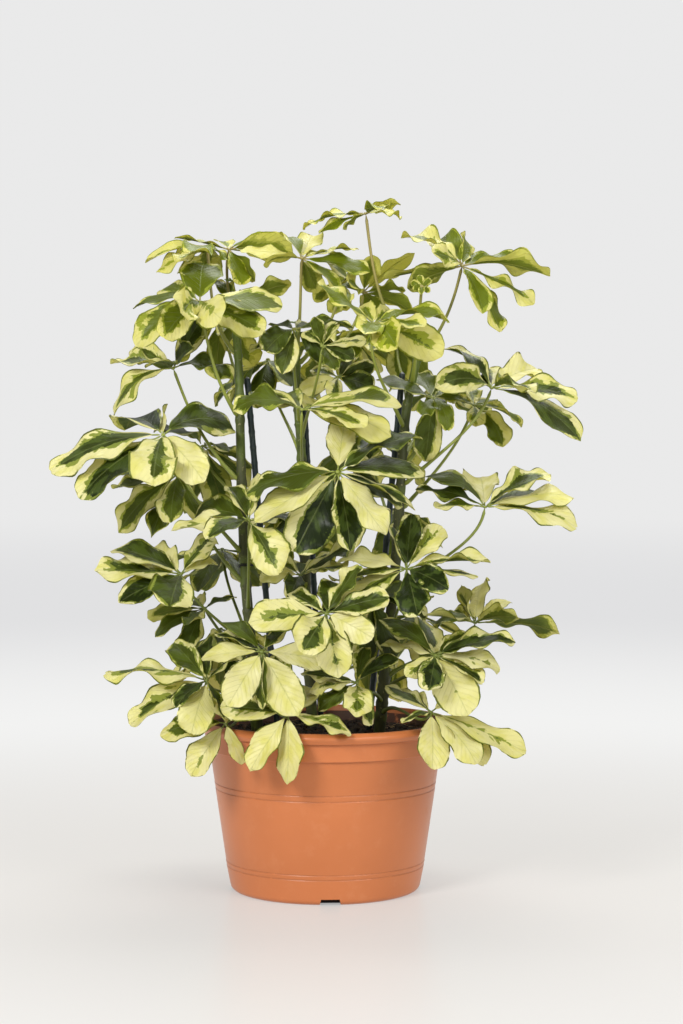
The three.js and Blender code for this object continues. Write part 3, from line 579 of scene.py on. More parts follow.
def soil_bits(bm):
    """Crumbs and chips of bark, half sunk into the surface."""
    for i in range(BITS.count):
        is_bark = i % BITS.bark_every == 0
        turn = pi * wobble(i, 1)
        away = soil_radius(SOIL.top - 6) * sqrt(0.5 + 0.5 * wobble(i, 2)) * BITS.edge
        x = away * cos(turn)
        y = away * sin(turn)
        size = BITS.small + BITS.more * (0.5 + 0.5 * wobble(i, 3)) ** 3
        long = (3.2 if is_bark else 1.5) + wobble(i, 4)
        bit = bmesh.ops.create_icosphere(bm, subdivisions=1, radius=1)["verts"]
        for n, vert in enumerate(bit):
            vert.co *= 1 + 0.25 * wobble(i, 10 + n)
        spin = Matrix.Rotation(pi * wobble(i, 5), 4, "Z") @ Matrix.Rotation(0.6 * wobble(i, 6), 4, "Y")
        shape = Matrix.Diagonal((size * long, size * 0.9, size * 0.7, 1))
        put = Matrix.Translation((x, y, soil_height(x, y) + 0.2 * size))
        bmesh.ops.transform(bm, matrix=Matrix.Scale(MM, 4) @ put @ spin @ shape, verts=bit)
        for face in faces_of(bit):
            face.material_index = 1 if is_bark else 0


def root_path(i):
    """The wandering path of one root over the surface."""
    turn = pi * wobble(i, 21)
    start = Vector((cos(turn), sin(turn), 0)) * ROOTS.away
    ahead = turn + 1.5 + wobble(i, 22)
    length = ROOTS.length + 18 * wobble(i, 23)

    def path(t):
        bend = ahead + 1.2 * sin(2.4 * t + i)
        spot = start + Vector((cos(bend), sin(bend), 0)) * length * t
        hump = 2.2 * sin(pi * t) * (0.6 + 0.4 * sin(9 * t + i))
        return Vector((spot.x, spot.y, soil_height(spot.x, spot.y) + hump))

    return path


# %% [markdown]
# Damp peat is nearly black with a brown cast, and dries paler on the tips of its crumbs. Bark chips are a
# warmer brown, and the roots are straw coloured.

# %% Peat, bark chips and roots


def peat():
    finish = Finish("damp_peat")
    place = finish.place()
    lumps = finish.grain(place, 220, 6, 0.7)
    dry = finish.grain(place, 45, 3).step(0.5, 0.75) * lumps
    colour = finish.mix(lumps.step(0.35, 0.75), linear(24, 15, 10), linear(58, 41, 30))
    colour = finish.mix(dry * 0.6, colour, linear(92, 70, 52))
    return finish.coat(Base_Color=colour, Roughness=0.95 - dry * 0.1, Normal=finish.bump(lumps, 1.6))


soil_mesh = soil_block()
soil_bits(soil_mesh)
for i in range(ROOTS.count):
    tube(soil_mesh, root_path(i), lambda t: ROOTS.radius * (1 - 0.6 * t), ROOTS.around, ROOTS.along, 2)
chips = speckled("bark_chips", (500, 3), (48, 30, 19), (96, 66, 44), 0.85, 0.3)
roots = speckled("pale_roots", (300, 2), (120, 95, 66), (176, 152, 112), 0.8)
soil = piece("potting_soil", soil_mesh, [peat(), chips, roots], ["soil"], 60)
print("soil triangles:", triangles(soil))

# %% [markdown]
# ## The stems
# Each stem is a smooth curve through a few points, thinner towards its top. Where a leaf grows from it, it
# swells into a node with a ring-shaped scar. The points and the leaves' heights are the same as in the
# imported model.

# %% The stems' middles
STEM = SimpleNamespace(low=6.4, high=3.8, around=18, along=150)
BUD = SimpleNamespace(length=16, sunk=3, scales=3)
STEMS = {
    "left": [
        (-64, -10, 95), (-69, -12, 159), (-76, -14, 256), (-82, -12, 332), (-86, -8, 449), (-88, -2, 530),
        (-92, 6, 580),
    ],
    "centre": [
        (-11, 35, 95), (-13, 36, 155), (-18, 38, 251), (-22, 40, 355), (-25, 41, 448), (-29, 40, 500),
        (-30, 34, 560),
    ],
    "right": [
        (50, -5, 95), (55, -6, 158), (64, -7, 255), (72, -6, 337), (79, -2, 449), (85, 1, 500), (97, 4, 556),
    ],
}


def smooth_curve(points):
    """A Catmull-Rom curve through the points, as a function from 0 to 1."""
    spots = [Vector(p) for p in points]
    spots = [2 * spots[0] - spots[1], *spots, 2 * spots[-1] - spots[-2]]

    def at(t):
        whole = min(int(t * (len(points) - 1)), len(points) - 2)
        part = t * (len(points) - 1) - whole
        before, a, b, after = spots[whole : whole + 4]
        rise = (b - before) / 2
        fall = (after - a) / 2
        cubic = 2 * a - 2 * b + rise + fall
        square = 3 * b - 3 * a - 2 * rise - fall
        return ((cubic * part + square) * part + rise) * part + a

    return at


def at_height(curve, height):
    """The share along a rising curve where it reaches a height."""
    low, high = 0, 1
    while high - low > 1e-9:
        middle = (low + high) / 2
        if curve(middle).z < height:
            low = middle
        else:
            high = middle
    return low


CURVES = {side: smooth_curve(points) for side, points in STEMS.items()}
print("stem tops in mm:", {side: round(curve(1).z) for side, curve in CURVES.items()})

# %% [markdown]
# ## The leaves' places
# An umbrella leaf is a long stalk with leaflets round its end, like the ribs of an umbrella. Each row says
# from which stem and height it grows, where its hub is, how far its umbrella leans and which way, its
# longest leaflet and its number of leaflets. Two more numbers are about colour: how much of it is cream
# rather than green, and how fresh, that is how yellow and bright, it is.

# %% The table of leaves
LEAVES = [
    ("right", 545, 41, -5, 689, 8, 190, 66, 6, 0.5, 0.85),
    ("left", 545, -121, 10, 657, 10, 190, 68, 7, 0.6, 0.8),
    ("left", 566, -100, 42, 656, 10, 10, 66, 7, 0.4, 0.95),
    ("centre", 548, -24, 0, 644, 18, -80, 70, 9, 0.62, 0.8),
    ("centre", 505, 39, 30, 611, 28, 85, 70, 8, 0.5, 0.95),
    ("centre", 535, 12, 25, 616, 22, 110, 46, 6, 0.5, 0.9),
    ("right", 540, 138, -20, 635, 20, -55, 92, 12, 0.4, 0.7),
    ("right", 515, 96, -58, 612, 40, -85, 18, 7, 0.6, 0.9),
    ("right", 470, 48, -75, 575, 22, -45, 78, 8, 0.58, 0.8),
    ("left", 480, -125, -52, 597, 24, -110, 84, 9, 0.64, 0.5),
    ("left", 415, -154, -15, 532, 28, -130, 76, 7, 0.4, 0.2),
    ("centre", 475, -31, -32, 571, 32, -80, 64, 7, 0.2, 0.15),
    ("centre", 458, -3, -58, 553, 16, -70, 48, 6, 0.3, 0.25),
    ("right", 445, 13, -15, 523, 35, -80, 50, 6, 0.25, 0.25),
    ("centre", 400, -23, -85, 490, 20, -85, 90, 8, 0.5, 0.45),
    ("right", 410, 168, -22, 512, 18, -35, 104, 8, 0.35, 0.15),
    ("right", 385, 154, 38, 495, 20, -30, 66, 7, 0.3, 0.6),
    ("right", 430, 109, -12, 502, 30, -70, 66, 6, 0.35, 0.4),
    ("left", 342, -161, -65, 465, 28, -120, 116, 8, 0.4, 0.1),
    ("left", 312, -149, -15, 425, 40, -118, 84, 7, 0.25, 0.35),
    ("left", 285, -75, -95, 381, 26, -88, 86, 7, 0.35, 0.15),
    ("left", 245, -144, -55, 326, 30, -110, 90, 8, 0.35, 0.15),
    ("left", 225, -124, 15, 286, 30, -150, 74, 7, 0.3, 0.3),
    ("centre", 342, 12, -100, 429, 45, -90, 98, 11, 0.35, 0.1),
    ("right", 300, 161, -30, 392, 8, -55, 102, 8, 0.45, 0.15),
    ("right", 255, 80, -88, 333, 20, -82, 88, 10, 0.45, 0.15),
    ("centre", 262, -25, -42, 324, 28, -100, 68, 7, 0.4, 0.25),
    ("centre", 215, 1, -116, 291, 44, -88, 76, 8, 0.5, 0.15),
    ("right", 215, 152, -20, 274, 6, -55, 94, 8, 0.4, 0.25),
    ("left", 200, -62, -118, 254, 46, -92, 78, 8, 0.5, 0.15),
    ("left", 188, -118, -75, 221, 36, -112, 104, 9, 0.5, 0.2),
    ("left", 178, -98, -100, 182, 45, -105, 68, 6, 0.6, 0.3),
    ("left", 174, -36, -126, 195, 54, -90, 78, 7, 0.7, 0.3),
    ("right", 190, 31, -92, 221, 36, -95, 64, 7, 0.5, 0.15),
    ("right", 200, 109, -84, 247, 38, -80, 84, 9, 0.5, 0.15),
    ("right", 178, 104, -95, 192, 32, -48, 98, 8, 0.7, 0.2),
    ("left", 520, -88, 28, 600, 15, -90, 60, 7, 0.4, 0.75),
    ("right", 232, 47, -52, 302, 30, -70, 78, 8, 0.3, 0.2),
    ("left", 505, -110, 105, 588, 20, 120, 68, 7, 0.35, 0.55),
    ("centre", 490, 20, 140, 575, 14, 100, 80, 7, 0.35, 0.55),
    ("right", 495, 76, 110, 573, 18, 80, 64, 7, 0.35, 0.55),
    ("right", 433, 126, 130, 518, 18, 70, 68, 7, 0.3, 0.25),
    ("left", 382, -130, 100, 452, 22, 120, 72, 8, 0.25, 0.15),
    ("centre", 440, -62, 150, 545, 12, 100, 80, 8, 0.2, 0.15),
    ("right", 340, 50, 178, 468, 20, 90, 84, 8, 0.3, 0.15),
    ("right", 320, 80, 125, 384, 18, 80, 66, 7, 0.3, 0.2),
    ("left", 240, -110, 110, 342, 14, 110, 80, 8, 0.2, 0.15),
    ("centre", 278, -31, 185, 384, 22, 95, 90, 8, 0.35, 0.15),
    ("right", 205, 96, 120, 272, 14, 75, 76, 8, 0.3, 0.15),
    ("left", 195, -113, 142, 254, 24, 130, 84, 8, 0.4, 0.15),
    ("centre", 196, 46, 165, 244, 22, 90, 84, 8, 0.35, 0.15),
]


def umbrella(index, row):
    leaf = SimpleNamespace(index=index, number=index + 1)
    leaf.side, leaf.start, x, y, z, lean, heading, leaf.longest, leaf.count, leaf.cream, leaf.fresh = row
    tip, way = radians(lean), radians(heading)
    leaf.hub = Vector((x, y, z))
    leaf.normal = Vector((sin(tip) * cos(way), sin(tip) * sin(way), cos(tip)))
    leaf.down = Vector((cos(tip) * cos(way), cos(tip) * sin(way), -sin(tip)))
    leaf.across = leaf.normal.cross(leaf.down)
    return leaf


UMBRELLAS = [umbrella(index, row) for index, row in enumerate(LEAVES)]
print("leaves:", len(UMBRELLAS), "leaflets:", sum(leaf.count for leaf in UMBRELLAS))

# %% [markdown]
# ## The tips of the leaflets
# Where a leaflet points is what gives each leaf its own look from the front. So for the leaves in front
# each tip has its place: to the right of the hub and above it, and the share of its depth that goes back,
# or forward if it is negative. Where a leaflet differs from the rule below, the share of its width that
# shows comes next, negative for its underside and over 1 if it is broad, and then its curl in degrees. The
# second table says how much of each of these leaflets is cream. All other leaflets are spread over the
# gaps.

# %% The tables of tips and cream shares
TIPS = {
    1: ((-66, -13, 0, 0.1, 30), (-50, -15, -0.4, 0.25), (-26, -17, -0.3, -0.6), (17, 3, -0.9),
        (35, 9, -0.4), (36, 1, 0.7, 0.2)),
    2: ((-64, -17, 0.2, 0.25, 40), (-51, -28, -0.5, 0.4), (-29, -10, 0.6), (-26, -20, -0.8),
        (-10, -18, -0.9), (22, -11, 0.5, 0.3)),
    3: ((-10, 13, 0.8), (54, 11, 0.4, 0.5, 50), (68, -5, -0.5, -0.8), (12, -43, -0.6, 0.8),
        (30, -34, -0.3, -0.7)),
    4: ((10, 22, 0.8), (-19, 20, 0.6, 0.5, 50), (-40, -7, -0.6, -0.6), (36, 6, 0.7), (59, 11, 0.2, 0.2),
        (70, -10, 0.2, 0.5), (40, -36, -0.3, 0.5), (16, -34, 0.4, -1.2)),
    5: ((9, 36, -0.5, -0.9), (52, 42, -0.3, -0.4), (41, 8, -0.3, -0.3), (54, -13, 0.2, -0.55),
        (17, -20, 0.8), (-38, 30, -0.3, 0.3), (-18, 22, -0.6, 0.4), (-40, 8, 0.3, 0.4)),
    6: ((-25, -13, 0.5, -1), (-2, -27, 0.5, -1.2), (14, -18, 0.7, -1)),
    7: ((-61, 33, 0.3, 0.4, 50), (-57, -22, -0.3, -1.1), (-36, 12, -0.4, 0.7), (-28, 29, 0.7, 0.9, 60),
        (8, 33, 0.6, 0.65), (40, 19, 0.6, 0.45), (60, 8, 0.4, 0.4), (88, -12, -0.1, -0.3, 45),
        (76, -34, -0.2, 0.35), (44, -66, -0.4, 0.45), (20, -48, -0.5, 0.5), (-80, -14, 0.1, -0.25)),
    8: ((-11, 5, 0.4, 1.3), (-5, 12, 0.6, 1.3), (5, 12, 0.6, 1.3), (10, 5, 0.4, 1.3), (8, -6, -0.5, 1.2),
        (-1, -8, -0.7, 1.2), (-9, -4, -0.5, 1.2)),
    9: ((-12, 20, 0.5, 1), (20, 12, 0.6, 1), (75, 1, 0.3, 0.3, 60), (50, -4, -0.6), (73, -21, -0.2, 1.15),
        (20, -26, -0.9, 1.2), (-12, -20, -0.8)),
    10: ((-67, -7, 0.3, 0.3, 60), (-43, 16, 0.6, 0.6, 50), (3, 37, 0.8, 1.4), (-64, -45, -0.3, 0.8, 50),
        (-34, -38, -0.6, 1, 30), (-16, -16, -0.9, 1), (12, -20, -0.9, 1), (83, -4, 0, 0.6, 30),
        (67, -22, -0.4, 0.9, 20)),
    11: ((-65, 6, 0.3, 0.25, 30), (-58, -49, -0.2, 0.45, 85), (-44, 19, 0.5, 0.9, 30), (28, 52, 0.5, 1),
        (59, -13, 0.1, 0.4, 85), (20, 20, -0.5, 0.7), (-12, 6, -0.9)),
    12: ((-29, -24, -0.6, 1.2, 50), (-12, -45, -0.5, 1), (32, -42, -0.5, 1.1), (-24, 6, 0.6, 0.3),
        (16, 8, 0.6), (-46, -24, 0.1, 0.5)),
    13: ((44, 6, -0.2, 0.6), (14, 26, 0.6), (-8, 30, 0.5, 0.9), (-14, 16, 0.5, 0.8), (32, -8, -0.6, 0.9),
        (14, -20, -0.8)),
    14: ((38, 12, 0.2, 1.1), (36, -12, -0.4, 1.3), (14, 24, 0.7), (-6, -22, -0.7, 1.2),
        (-36, -20, -0.2, 1.1), (-28, 8, 0.5)),
    15: ((99, 8, 0.1, 0.45, 30), (92, -8, -0.3, 0.65), (63, -19, -0.5, 0.6), (-54, 14, 0.2, 0.5),
        (-70, -8, 0, 0.4, 60), (-50, 25, 0.5, 0.4)),
    16: ((-46, 42, 0.5, 0.5, 50), (-58, 0, -0.5, 1, 60), (50, 20, 0.5, 0.7), (2, 22, 0.8),
        (88, -12, 0, 0.5, 30), (97, -38, 0, 0.3, 50), (32, -4, -0.8)),
    17: ((50, -24, 0.2, 0.4, 60), (35, -39, -0.4, 0.9, 50), (0, -22, -0.5, 1.2), (19, 5, 0.7),
        (-26, 6, 0.5, 0.4)),
    18: ((14, -34, -0.5, 0.9, 80), (-12, -16, -0.6), (-16, -64, -0.2, 1.1), (20, 8, 0.4)),
    19: ((-112, -38, -0.1, 0.5, 45), (-88, -58, -0.4, 0.6, 25), (-45, 8, 0.8, 0.3, 60), (-3, 22, 0.5, 0.35),
        (24, 33, 0.7, 0.4), (69, 4, 0.5, 0.7, 75), (-5, -50, -0.7, 1.1), (43, -38, -0.6, 1.1)),
    20: ((-62, -60, -0.2, 0.6, 35), (-27, -64, -0.4, 0.7), (-6, -46, -0.6, 0.9), (-47, -28, 0.1, 0.5),
        (-60, 2, 0.5, 0.3), (-72, -14, 0.2, 0.3), (18, -33, -0.6, 0.9)),
    21: ((-57, 2, 0.5, 0.6, 60), (-77, -8, -0.2, 0.5), (-40, -14, -0.7), (5, 41, 0.6, 0.6),
        (-10, 36, 0.5, 0.7), (30, -50, -0.6, 1.25)),
    22: ((-86, 3, -0.1, 0.45), (-62, -27, -0.4, 0.7), (-37, 26, 0.5, 0.7), (-6, -26, -0.9, 1.2),
        (31, 37, 0.6, 0.8), (35, 10, 0.3, 0.6), (-76, 12, 0.3, 0.6), (50, 12, 0.6, 0.3)),
    23: ((-59, -10, 0.1, -0.7, 30), (-55, -19, -0.4, 0.4, 30), (-13, -12, -0.8), (30, 10, 0.5),
        (-45, -34, -0.2, 1), (-28, -50, -0.3, 0.9)),
    24: ((-42, -80, -0.4, 1.25), (14, -76, -0.5, 0.85), (46, -62, -0.5, 0.8), (-76, -57, -0.2, 0.7),
        (78, -36, -0.2, 0.25, 20), (74, -20, 0.1, 0.5), (86, -10, 0.3, 0.5, 50), (-90, -22, 0.1, 0.4, 50),
        (8, 52, 0.5, 1.1), (-66, -8, 0.3, 0.4), (84, 36, 0.4, 0.3, 50)),
    25: ((-64, 32, 0.5, 0.4, 70), (-68, 17, 0.2, 0.25, 40), (-53, 0, -0.3, 0.3), (0, 32, 0.7, 1.1),
        (68, 32, 0.4, 0.6, 30), (92, 14, 0.2, 0.4, 20), (97, -3, -0.2, 0.35, 30), (70, 15, 0.6, 0.3)),
    26: ((-70, 8, 0.3, 0.5, 30), (-12, 40, 0.6, 0.6), (6, 44, 0.5, 0.9), (38, 42, 0.3, 0.9),
        (84, 6, 0.1, 0.25, 30), (72, -4, -0.2, 0.25), (38, -16, -0.7, 1), (10, -34, -0.8, 1),
        (-66, -8, 0.1, 0.3), (-75, -28, -0.4, 0.5)),
    27: ((-42, -4, 0.2, 0.8), (-10, -20, -0.7, 1.1), (0, 12, 0.6, 1), (35, 20, 0.5)),
    28: ((-22, -32, -0.8, 1.2), (12, -60, -0.5, 1.1), (45, -22, -0.5, 1.1), (-38, 20, 0.4), (6, 30, 0.7, 1),
        (36, 34, 0.5, 0.6), (-76, -8, -0.1, 0.8)),
    29: ((87, -7, -0.1, -0.3, 20), (-43, -2, 0.3, 0.5, 60), (9, 36, 0.8, 0.7), (36, 23, 0.5, 0.6),
        (-14, 28, 0.6, -0.9), (-50, 26, 0.5, 0.4), (40, 8, -0.5, -0.7)),
    30: ((-32, -51, -0.6, 1.15), (34, -64, -0.5, 1.3), (-60, -8, 0.1, 0.7, 30), (68, -10, 0, 0.9),
        (-42, 28, 0.5, 0.6, 80), (2, -55, -0.3, 0.3), (32, 26, 0.6, 0.6), (-50, 18, 0.3, 0.3)),
    31: ((-103, 6, 0.1, 0.15, 45), (-75, -44, -0.3, 0.6, 35), (-12, -47, -0.7, 1.1), (30, 22, 0.6, 0.5),
        (2, 40, 0.6, 0.6), (-38, 36, 0.5), (-28, -28, -0.4), (22, -36, -0.4, 0.3), (16, -8, -0.9)),
    32: ((-34, -52, -0.4, 0.8), (-64, -12, -0.1, 0.6, 50), (48, 18, 0.2, 0.4), (16, -38, -0.5, 0.8)),
    33: ((-38, -54, -0.5, 0.9), (0, -68, -0.4, 0.8), (62, -20, -0.2, 0.6)),
    34: ((0, -27, -0.9, 1.35), (-56, 8, 0.2, 0.6), (-50, -8, -0.1, 0.5), (42, 22, 0.3, 0.7, 60),
        (9, -42, -0.4, 0.7), (8, 34, 0.6), (-40, -22, -0.4)),
    35: ((31, -56, -0.6, 1.4), (80, 14, 0.2, 0.6, 40), (66, -12, 0, 0.55), (48, -18, -0.4, 0.5),
        (-56, 8, 0.2, 0.4), (-55, 36, 0.4, 0.6, 50), (46, 20, 0.6, 0.7, 50), (-30, -18, -0.4, 0.8),
        (-8, -28, -0.7)),
    36: ((-1, -50, -0.6, 0.95), (44, -46, -0.5, 0.65), (57, -44, -0.3, 0.5), (94, -41, -0.1, 0.45, 15),
        (40, 8, 0.4, 0.6, 60), (-44, 22, 0.3, 0.6), (-30, -8, -0.2, 0.4), (-28, 30, 0.5, 0.4)),
    37: ((53, 22, 0.3, -0.7), (-35, -35, -0.5, -1), (15, -40, -0.5, -1), (-25, 30, 0.5)),
}
CREAM = {
    1: (0.4, 0.3, 0.4, 0.3, 0.7, 0.5), 2: (0.8, 0.8, 0.6, 0.8, 0.2, 0.2), 3: (0.6, 0.15, 0.35, 0.15, 0.3),
    4: (0.85, 0.15, 0.7, 0.5, 0.5, 0.1, 0.4, 0.5), 5: (0.5, 0.85, 0.3, 0.2, 0.2, 0.6, 0.5, 0.1),
    6: (0.5, 0.5, 0.5), 7: (0.6, 0.3, 0.6, 0.4, 0.35, 0.25, 0.1, 0.6, 0.5, 0.5, 0.35, 0.6),
    8: (0.3, 0.3, 0.3, 0.3, 0.3, 0.3, 0.3), 9: (0.6, 0.5, 0.2, 0.5, 0.75, 0.5, 0.5),
    10: (0.1, 0.5, 0.1, 0.55, 0.6, 0.7, 0.8, 0.35, 0.55), 11: (0.5, 0.6, 0.5, 0.3, 0.05, 0.05, 0.1),
    12: (0.15, 0.3, 0.05, 0.1, 0.3, 0.5), 13: (0.7, 0.5, 0.2, 0.5, 0.05, 0.1),
    14: (0.1, 0.05, 0.1, 0.6, 0.85, 0.5), 15: (0.75, 0.95, 0.6, 0.6, 0.2, 0.2),
    16: (0.25, 0.5, 0.95, 0.8, 0.6, 0.3, 0.5), 17: (0.4, 0.4, 0.5, 0.5, 0.5), 18: (0.05, 0, 0.4, 0.3),
    19: (0.45, 0.4, 0.1, 0.9, 0.05, 0.05, 0.6, 0.95), 20: (0.4, 0.1, 0.2, 0.3, 0.2, 0.2, 0.4),
    21: (0.05, 0.8, 0.2, 0.8, 0.3, 0.6), 22: (0.6, 0.25, 0.9, 0.25, 0.5, 0.9, 0.4, 0.3),
    23: (0.5, 0.1, 0.05, 0.1, 0.4, 0.2), 24: (0.3, 0.35, 0.95, 0.9, 0.5, 0.05, 0.3, 0.1, 0.95, 0.8, 0.1),
    25: (0.05, 0.05, 0.5, 0.95, 0.5, 0.85, 0.8, 0.2),
    26: (0.95, 0.4, 0.05, 0.8, 0.6, 0.5, 0.05, 0.1, 0.5, 0.6), 27: (0.9, 0.05, 0.5, 0.3),
    28: (0.6, 0.7, 0.95, 0.5, 0.05, 0.3, 0.75), 29: (0.2, 0.05, 0.95, 0.95, 0.6, 0.05, 0.3),
    30: (0.9, 1, 0.9, 0.9, 0.05, 0.1, 0.4, 0.3), 31: (0.7, 0.6, 0.95, 0.6, 0.2, 0.3, 0.1, 0.3, 0.9),
    32: (0.85, 0.4, 0.85, 0.95), 33: (0.9, 1, 0.8), 34: (0.75, 0.5, 0.8, 0.05, 0.3, 0.3, 0.1),
    35: (0.9, 0.3, 0.8, 0.5, 0.9, 0.1, 0.3, 0.6, 0.3), 36: (1, 0.95, 0.6, 0.8, 0.8, 0.5, 0.4, 0.6),
    37: (0.3, 0.3, 0.2, 0.1),
}
print("leaflets with a place of their own:", sum(len(tips) for tips in TIPS.values()))

# %% Stems with nodes and buds
SPRIGS = {"left": (42, 10), "centre": (19, 9), "right": (14, 7)}
SPRIG = SimpleNamespace(leaflets=7, stalk=0.9, rise=0.5, spread=0.85, droop=0.3)


def add_sprig(bm, foot, ahead, tall, long):
    """The newest leaf: a thin stalk above the bud, with tiny folded leaflets spread round its end."""
    top = foot + ahead * tall
    tube(bm, lambda t: foot + ahead * (tall + 1) * t, lambda t: SPRIG.stalk, 6, 4)
    for i in range(SPRIG.leaflets):
        turn = Matrix.Rotation(i * tau / SPRIG.leaflets, 3, ahead)
        way = turn @ (ahead * SPRIG.rise + ahead.orthogonal().normalized() * SPRIG.spread)

        def path(t, way=way):
            return top + way * long * t - UP * SPRIG.droop * long * t * t

        tube(bm, path, lambda t: 0.35 + 0.6 * sin(pi * t) ** 2, 5, 6)


def add_bud(bm, top, ahead):
    """Three scales that hug each other at the stem's top."""
    root = top - ahead * BUD.sunk
    for turn in range(BUD.scales):
        lean = Matrix.Rotation(turn * 2.1, 3, ahead) @ ahead.orthogonal().normalized()

        def path(t, lean=lean, turn=turn):
            return root + ahead * (BUD.length + BUD.sunk - 2.5 * turn) * t + lean * (1.2 + 2.2 * turn * t * t)

        tube(bm, path, lambda t: 2.5 * (1 - t) ** 0.7 + 0.2, 10, 12)


def stem_mesh(side):
    curve = CURVES[side]
    nodes = [at_height(curve, leaf.start) for leaf in UMBRELLAS if leaf.side == side]
    top = curve(1)
    ahead = (top - curve(0.99)).normalized()

    def radius(t):
        swell = sum(exp(-(((t - node) / 0.006) ** 2)) for node in nodes)
        scars = sum(exp(-(((t - node - 0.009) / 0.0022) ** 2)) for node in nodes)
        return between(STEM.low, STEM.high, t) + min(0.9 * swell, 1.2) - min(0.3 * scars, 0.4)

    bm = bmesh.new()
    tube(bm, curve, radius, STEM.around, STEM.along)
    add_bud(bm, top, ahead)
    add_sprig(bm, top, ahead, *SPRIGS[side])
    return bm


# %% [markdown]
# Young bark is green and glossy, and turns grey-brown with fine lengthwise cracks as it ages. So the
# colour goes by height, with noise stretched along the stem and pale corky spots.

# %% Bark


def bark():
    finish = Finish("stem_bark")
    place = finish.place()
    cracks = finish.grain(finish.stretched(place, 0.12), 420, 4, 0.6)
    patches = finish.grain(place, 38, 3)
    cork = finish.grain(place, 260, 2).step(0.66, 0.72)
    young = (finish.height(place) + patches * 0.16).step(0.5, 0.68)
    old = finish.mix(cracks, linear(30, 34, 18), linear(84, 88, 38))
    old = finish.mix(patches.step(0.52, 0.62) * 0.6, old, linear(96, 112, 34))
    green = finish.mix(cracks, linear(70, 92, 20), linear(120, 138, 44))
    colour = finish.mix(young, old, green)
    colour = finish.mix(cork * 0.6, colour, linear(158, 150, 108))
    relief = finish.bump(cracks + cork, 0.5)
    return finish.coat(Base_Color=colour, Roughness=0.62 - young * 0.18, Normal=relief)


BARK = bark()
for side in STEMS:
    stem = piece(f"woody_stem_{side}", stem_mesh(side), [BARK], [f"stem_{side}"])
print("triangles of the last stem:", triangles(stem))

# %% [markdown]
# ## Canes and tie
# A steel cane coated in dark blue-green plastic stands beside each stem. Such canes have little nubs that
# stop a tie from sliding, and a rounded cap. One black band ties the left stem to its cane.

# %% Canes
CANE = SimpleNamespace(radius=3.6, around=20, pitch=16, nub=0.45, cap=4)
CANES = {
    "left": [(-39, 14, 45), (-80, 5, 524)],
    "centre": [(2, 57, 45), (-23, 55, 516)],
    "right": [(34, 15, 45), (79, 10, 529)],
}


def cane_mesh(side):
    foot, head = (Vector(p) for p in CANES[side])
    length = (head - foot).length

    def radius(t):
        ridge = exp(-(((t * length / CANE.pitch) % 1 - 0.5) ** 2) / 0.01)
        cap = min(1, (1 - t) * length / CANE.cap)
        return (CANE.radius - CANE.nub + CANE.nub * ridge) * sqrt(max(0, 1 - (1 - cap) ** 2))

    bm = bmesh.new()
    rows = 2 * round(length / CANE.pitch * 4)
    tube(bm, lambda t: between(foot, head, t), radius, CANE.around, rows)
    return bm


def cane_coating():
    finish = Finish("cane_coating")
    place = finish.place()
    streaks = finish.grain(finish.stretched(place, 0.08), 300, 3)
    dust = finish.grain(place, 120, 5, 0.7).step(0.5, 0.8)
    colour = finish.mix(streaks, linear(16, 26, 26), linear(34, 52, 54))
    colour = finish.mix(dust * 0.35, colour, linear(110, 112, 98))
    return finish.coat(Base_Color=colour, Roughness=0.34 + dust * 0.3, Normal=finish.bump(streaks, 0.1))


COATING = cane_coating()
for side in CANES:
    cane = piece(f"coated_cane_{side}", cane_mesh(side), [COATING], [f"cane_{side}"])
print("triangles of the last cane:", triangles(cane))

# %% The tie
TIE = SimpleNamespace(height=332, gap=0.9, thick=1.3, turns=2, rise=1.6, pull=2.5, around=8, along=80)


def tie_mesh():
    """A thin band wound twice round the stem and the cane."""
    foot, head = (Vector(p) for p in CANES["left"])
    share = at_height(CURVES["left"], TIE.height)
    a = CURVES["left"](share)
    b = between(foot, head, (TIE.height - foot.z) / (head.z - foot.z))
    wide = between(STEM.low, STEM.high, share) + TIE.gap
    narrow = CANE.radius + TIE.gap
    ahead = (b - a).normalized()
    sideways = UP.cross(ahead)

    def path(t):
        turn = tau * TIE.turns * t
        middle = between(a, b, 0.5 - 0.5 * tanh(TIE.pull * cos(turn)) / tanh(TIE.pull))
        reach = between(wide, narrow, 0.5 - 0.5 * cos(turn))
        rise = UP * TIE.rise * (2 * t - 1)
        return middle - ahead * cos(turn) * reach + sideways * sin(turn) * reach + rise

    bm = bmesh.new()
    tube(bm, path, lambda t: TIE.thick / 2, TIE.around, TIE.along)
    return bm


rubber = speckled("tie_rubber", (800, 3), (16, 16, 15), (38, 38, 35), 0.6, 0.1)
tie = piece("cane_tie", tie_mesh(), [rubber], ["tie_left"])
print("tie triangles:", triangles(tie))

# %% [markdown]
# ## How a leaflet hangs
# A leaflet leaves the hub at its own angle, bends down under its weight and twists a little. The packed
# model has the same rule, and there a leaflet that would touch a neighbour is lifted or swung aside. To
# find out which way each one went, every choice is tried until the tip's two corners lie on points of the
# packed leaf.

# %% The rule for a leaflet's place
LEAFLET = SimpleNamespace(thick=0.8, width=0.42, wave=0.03, curl=24, long=96, foot=0.45, level=0.15)
HANG = SimpleNamespace(steep=65, droop=36)
VARY = SimpleNamespace(angle=6, length=0.08, back=0.07, width=0.14, tilt=9, stand=20, curl=0.6, twist=22)
VARY.cream = 0.28
TOUCH = 0.05
LIFTS = (0, -8, 8, -16, 16, -25, 25, -36, 36, 48)
SWINGS = (0, 7, -7, 14, -14)
SHORT_ROWS = ((0.04, 0.05), (0.2, 0.12), (0.6, 1), (1, 0.52))
LONG_ROWS = ((0.04, 0.05), (0.2, 0.12), (0.47, 0.86), (0.76, 1), (1, 0.46))
DEPTH = 0.25
EYE = Vector((0, -2500, 480))
SHOWN = SimpleNamespace(least=0.4, roll=75)


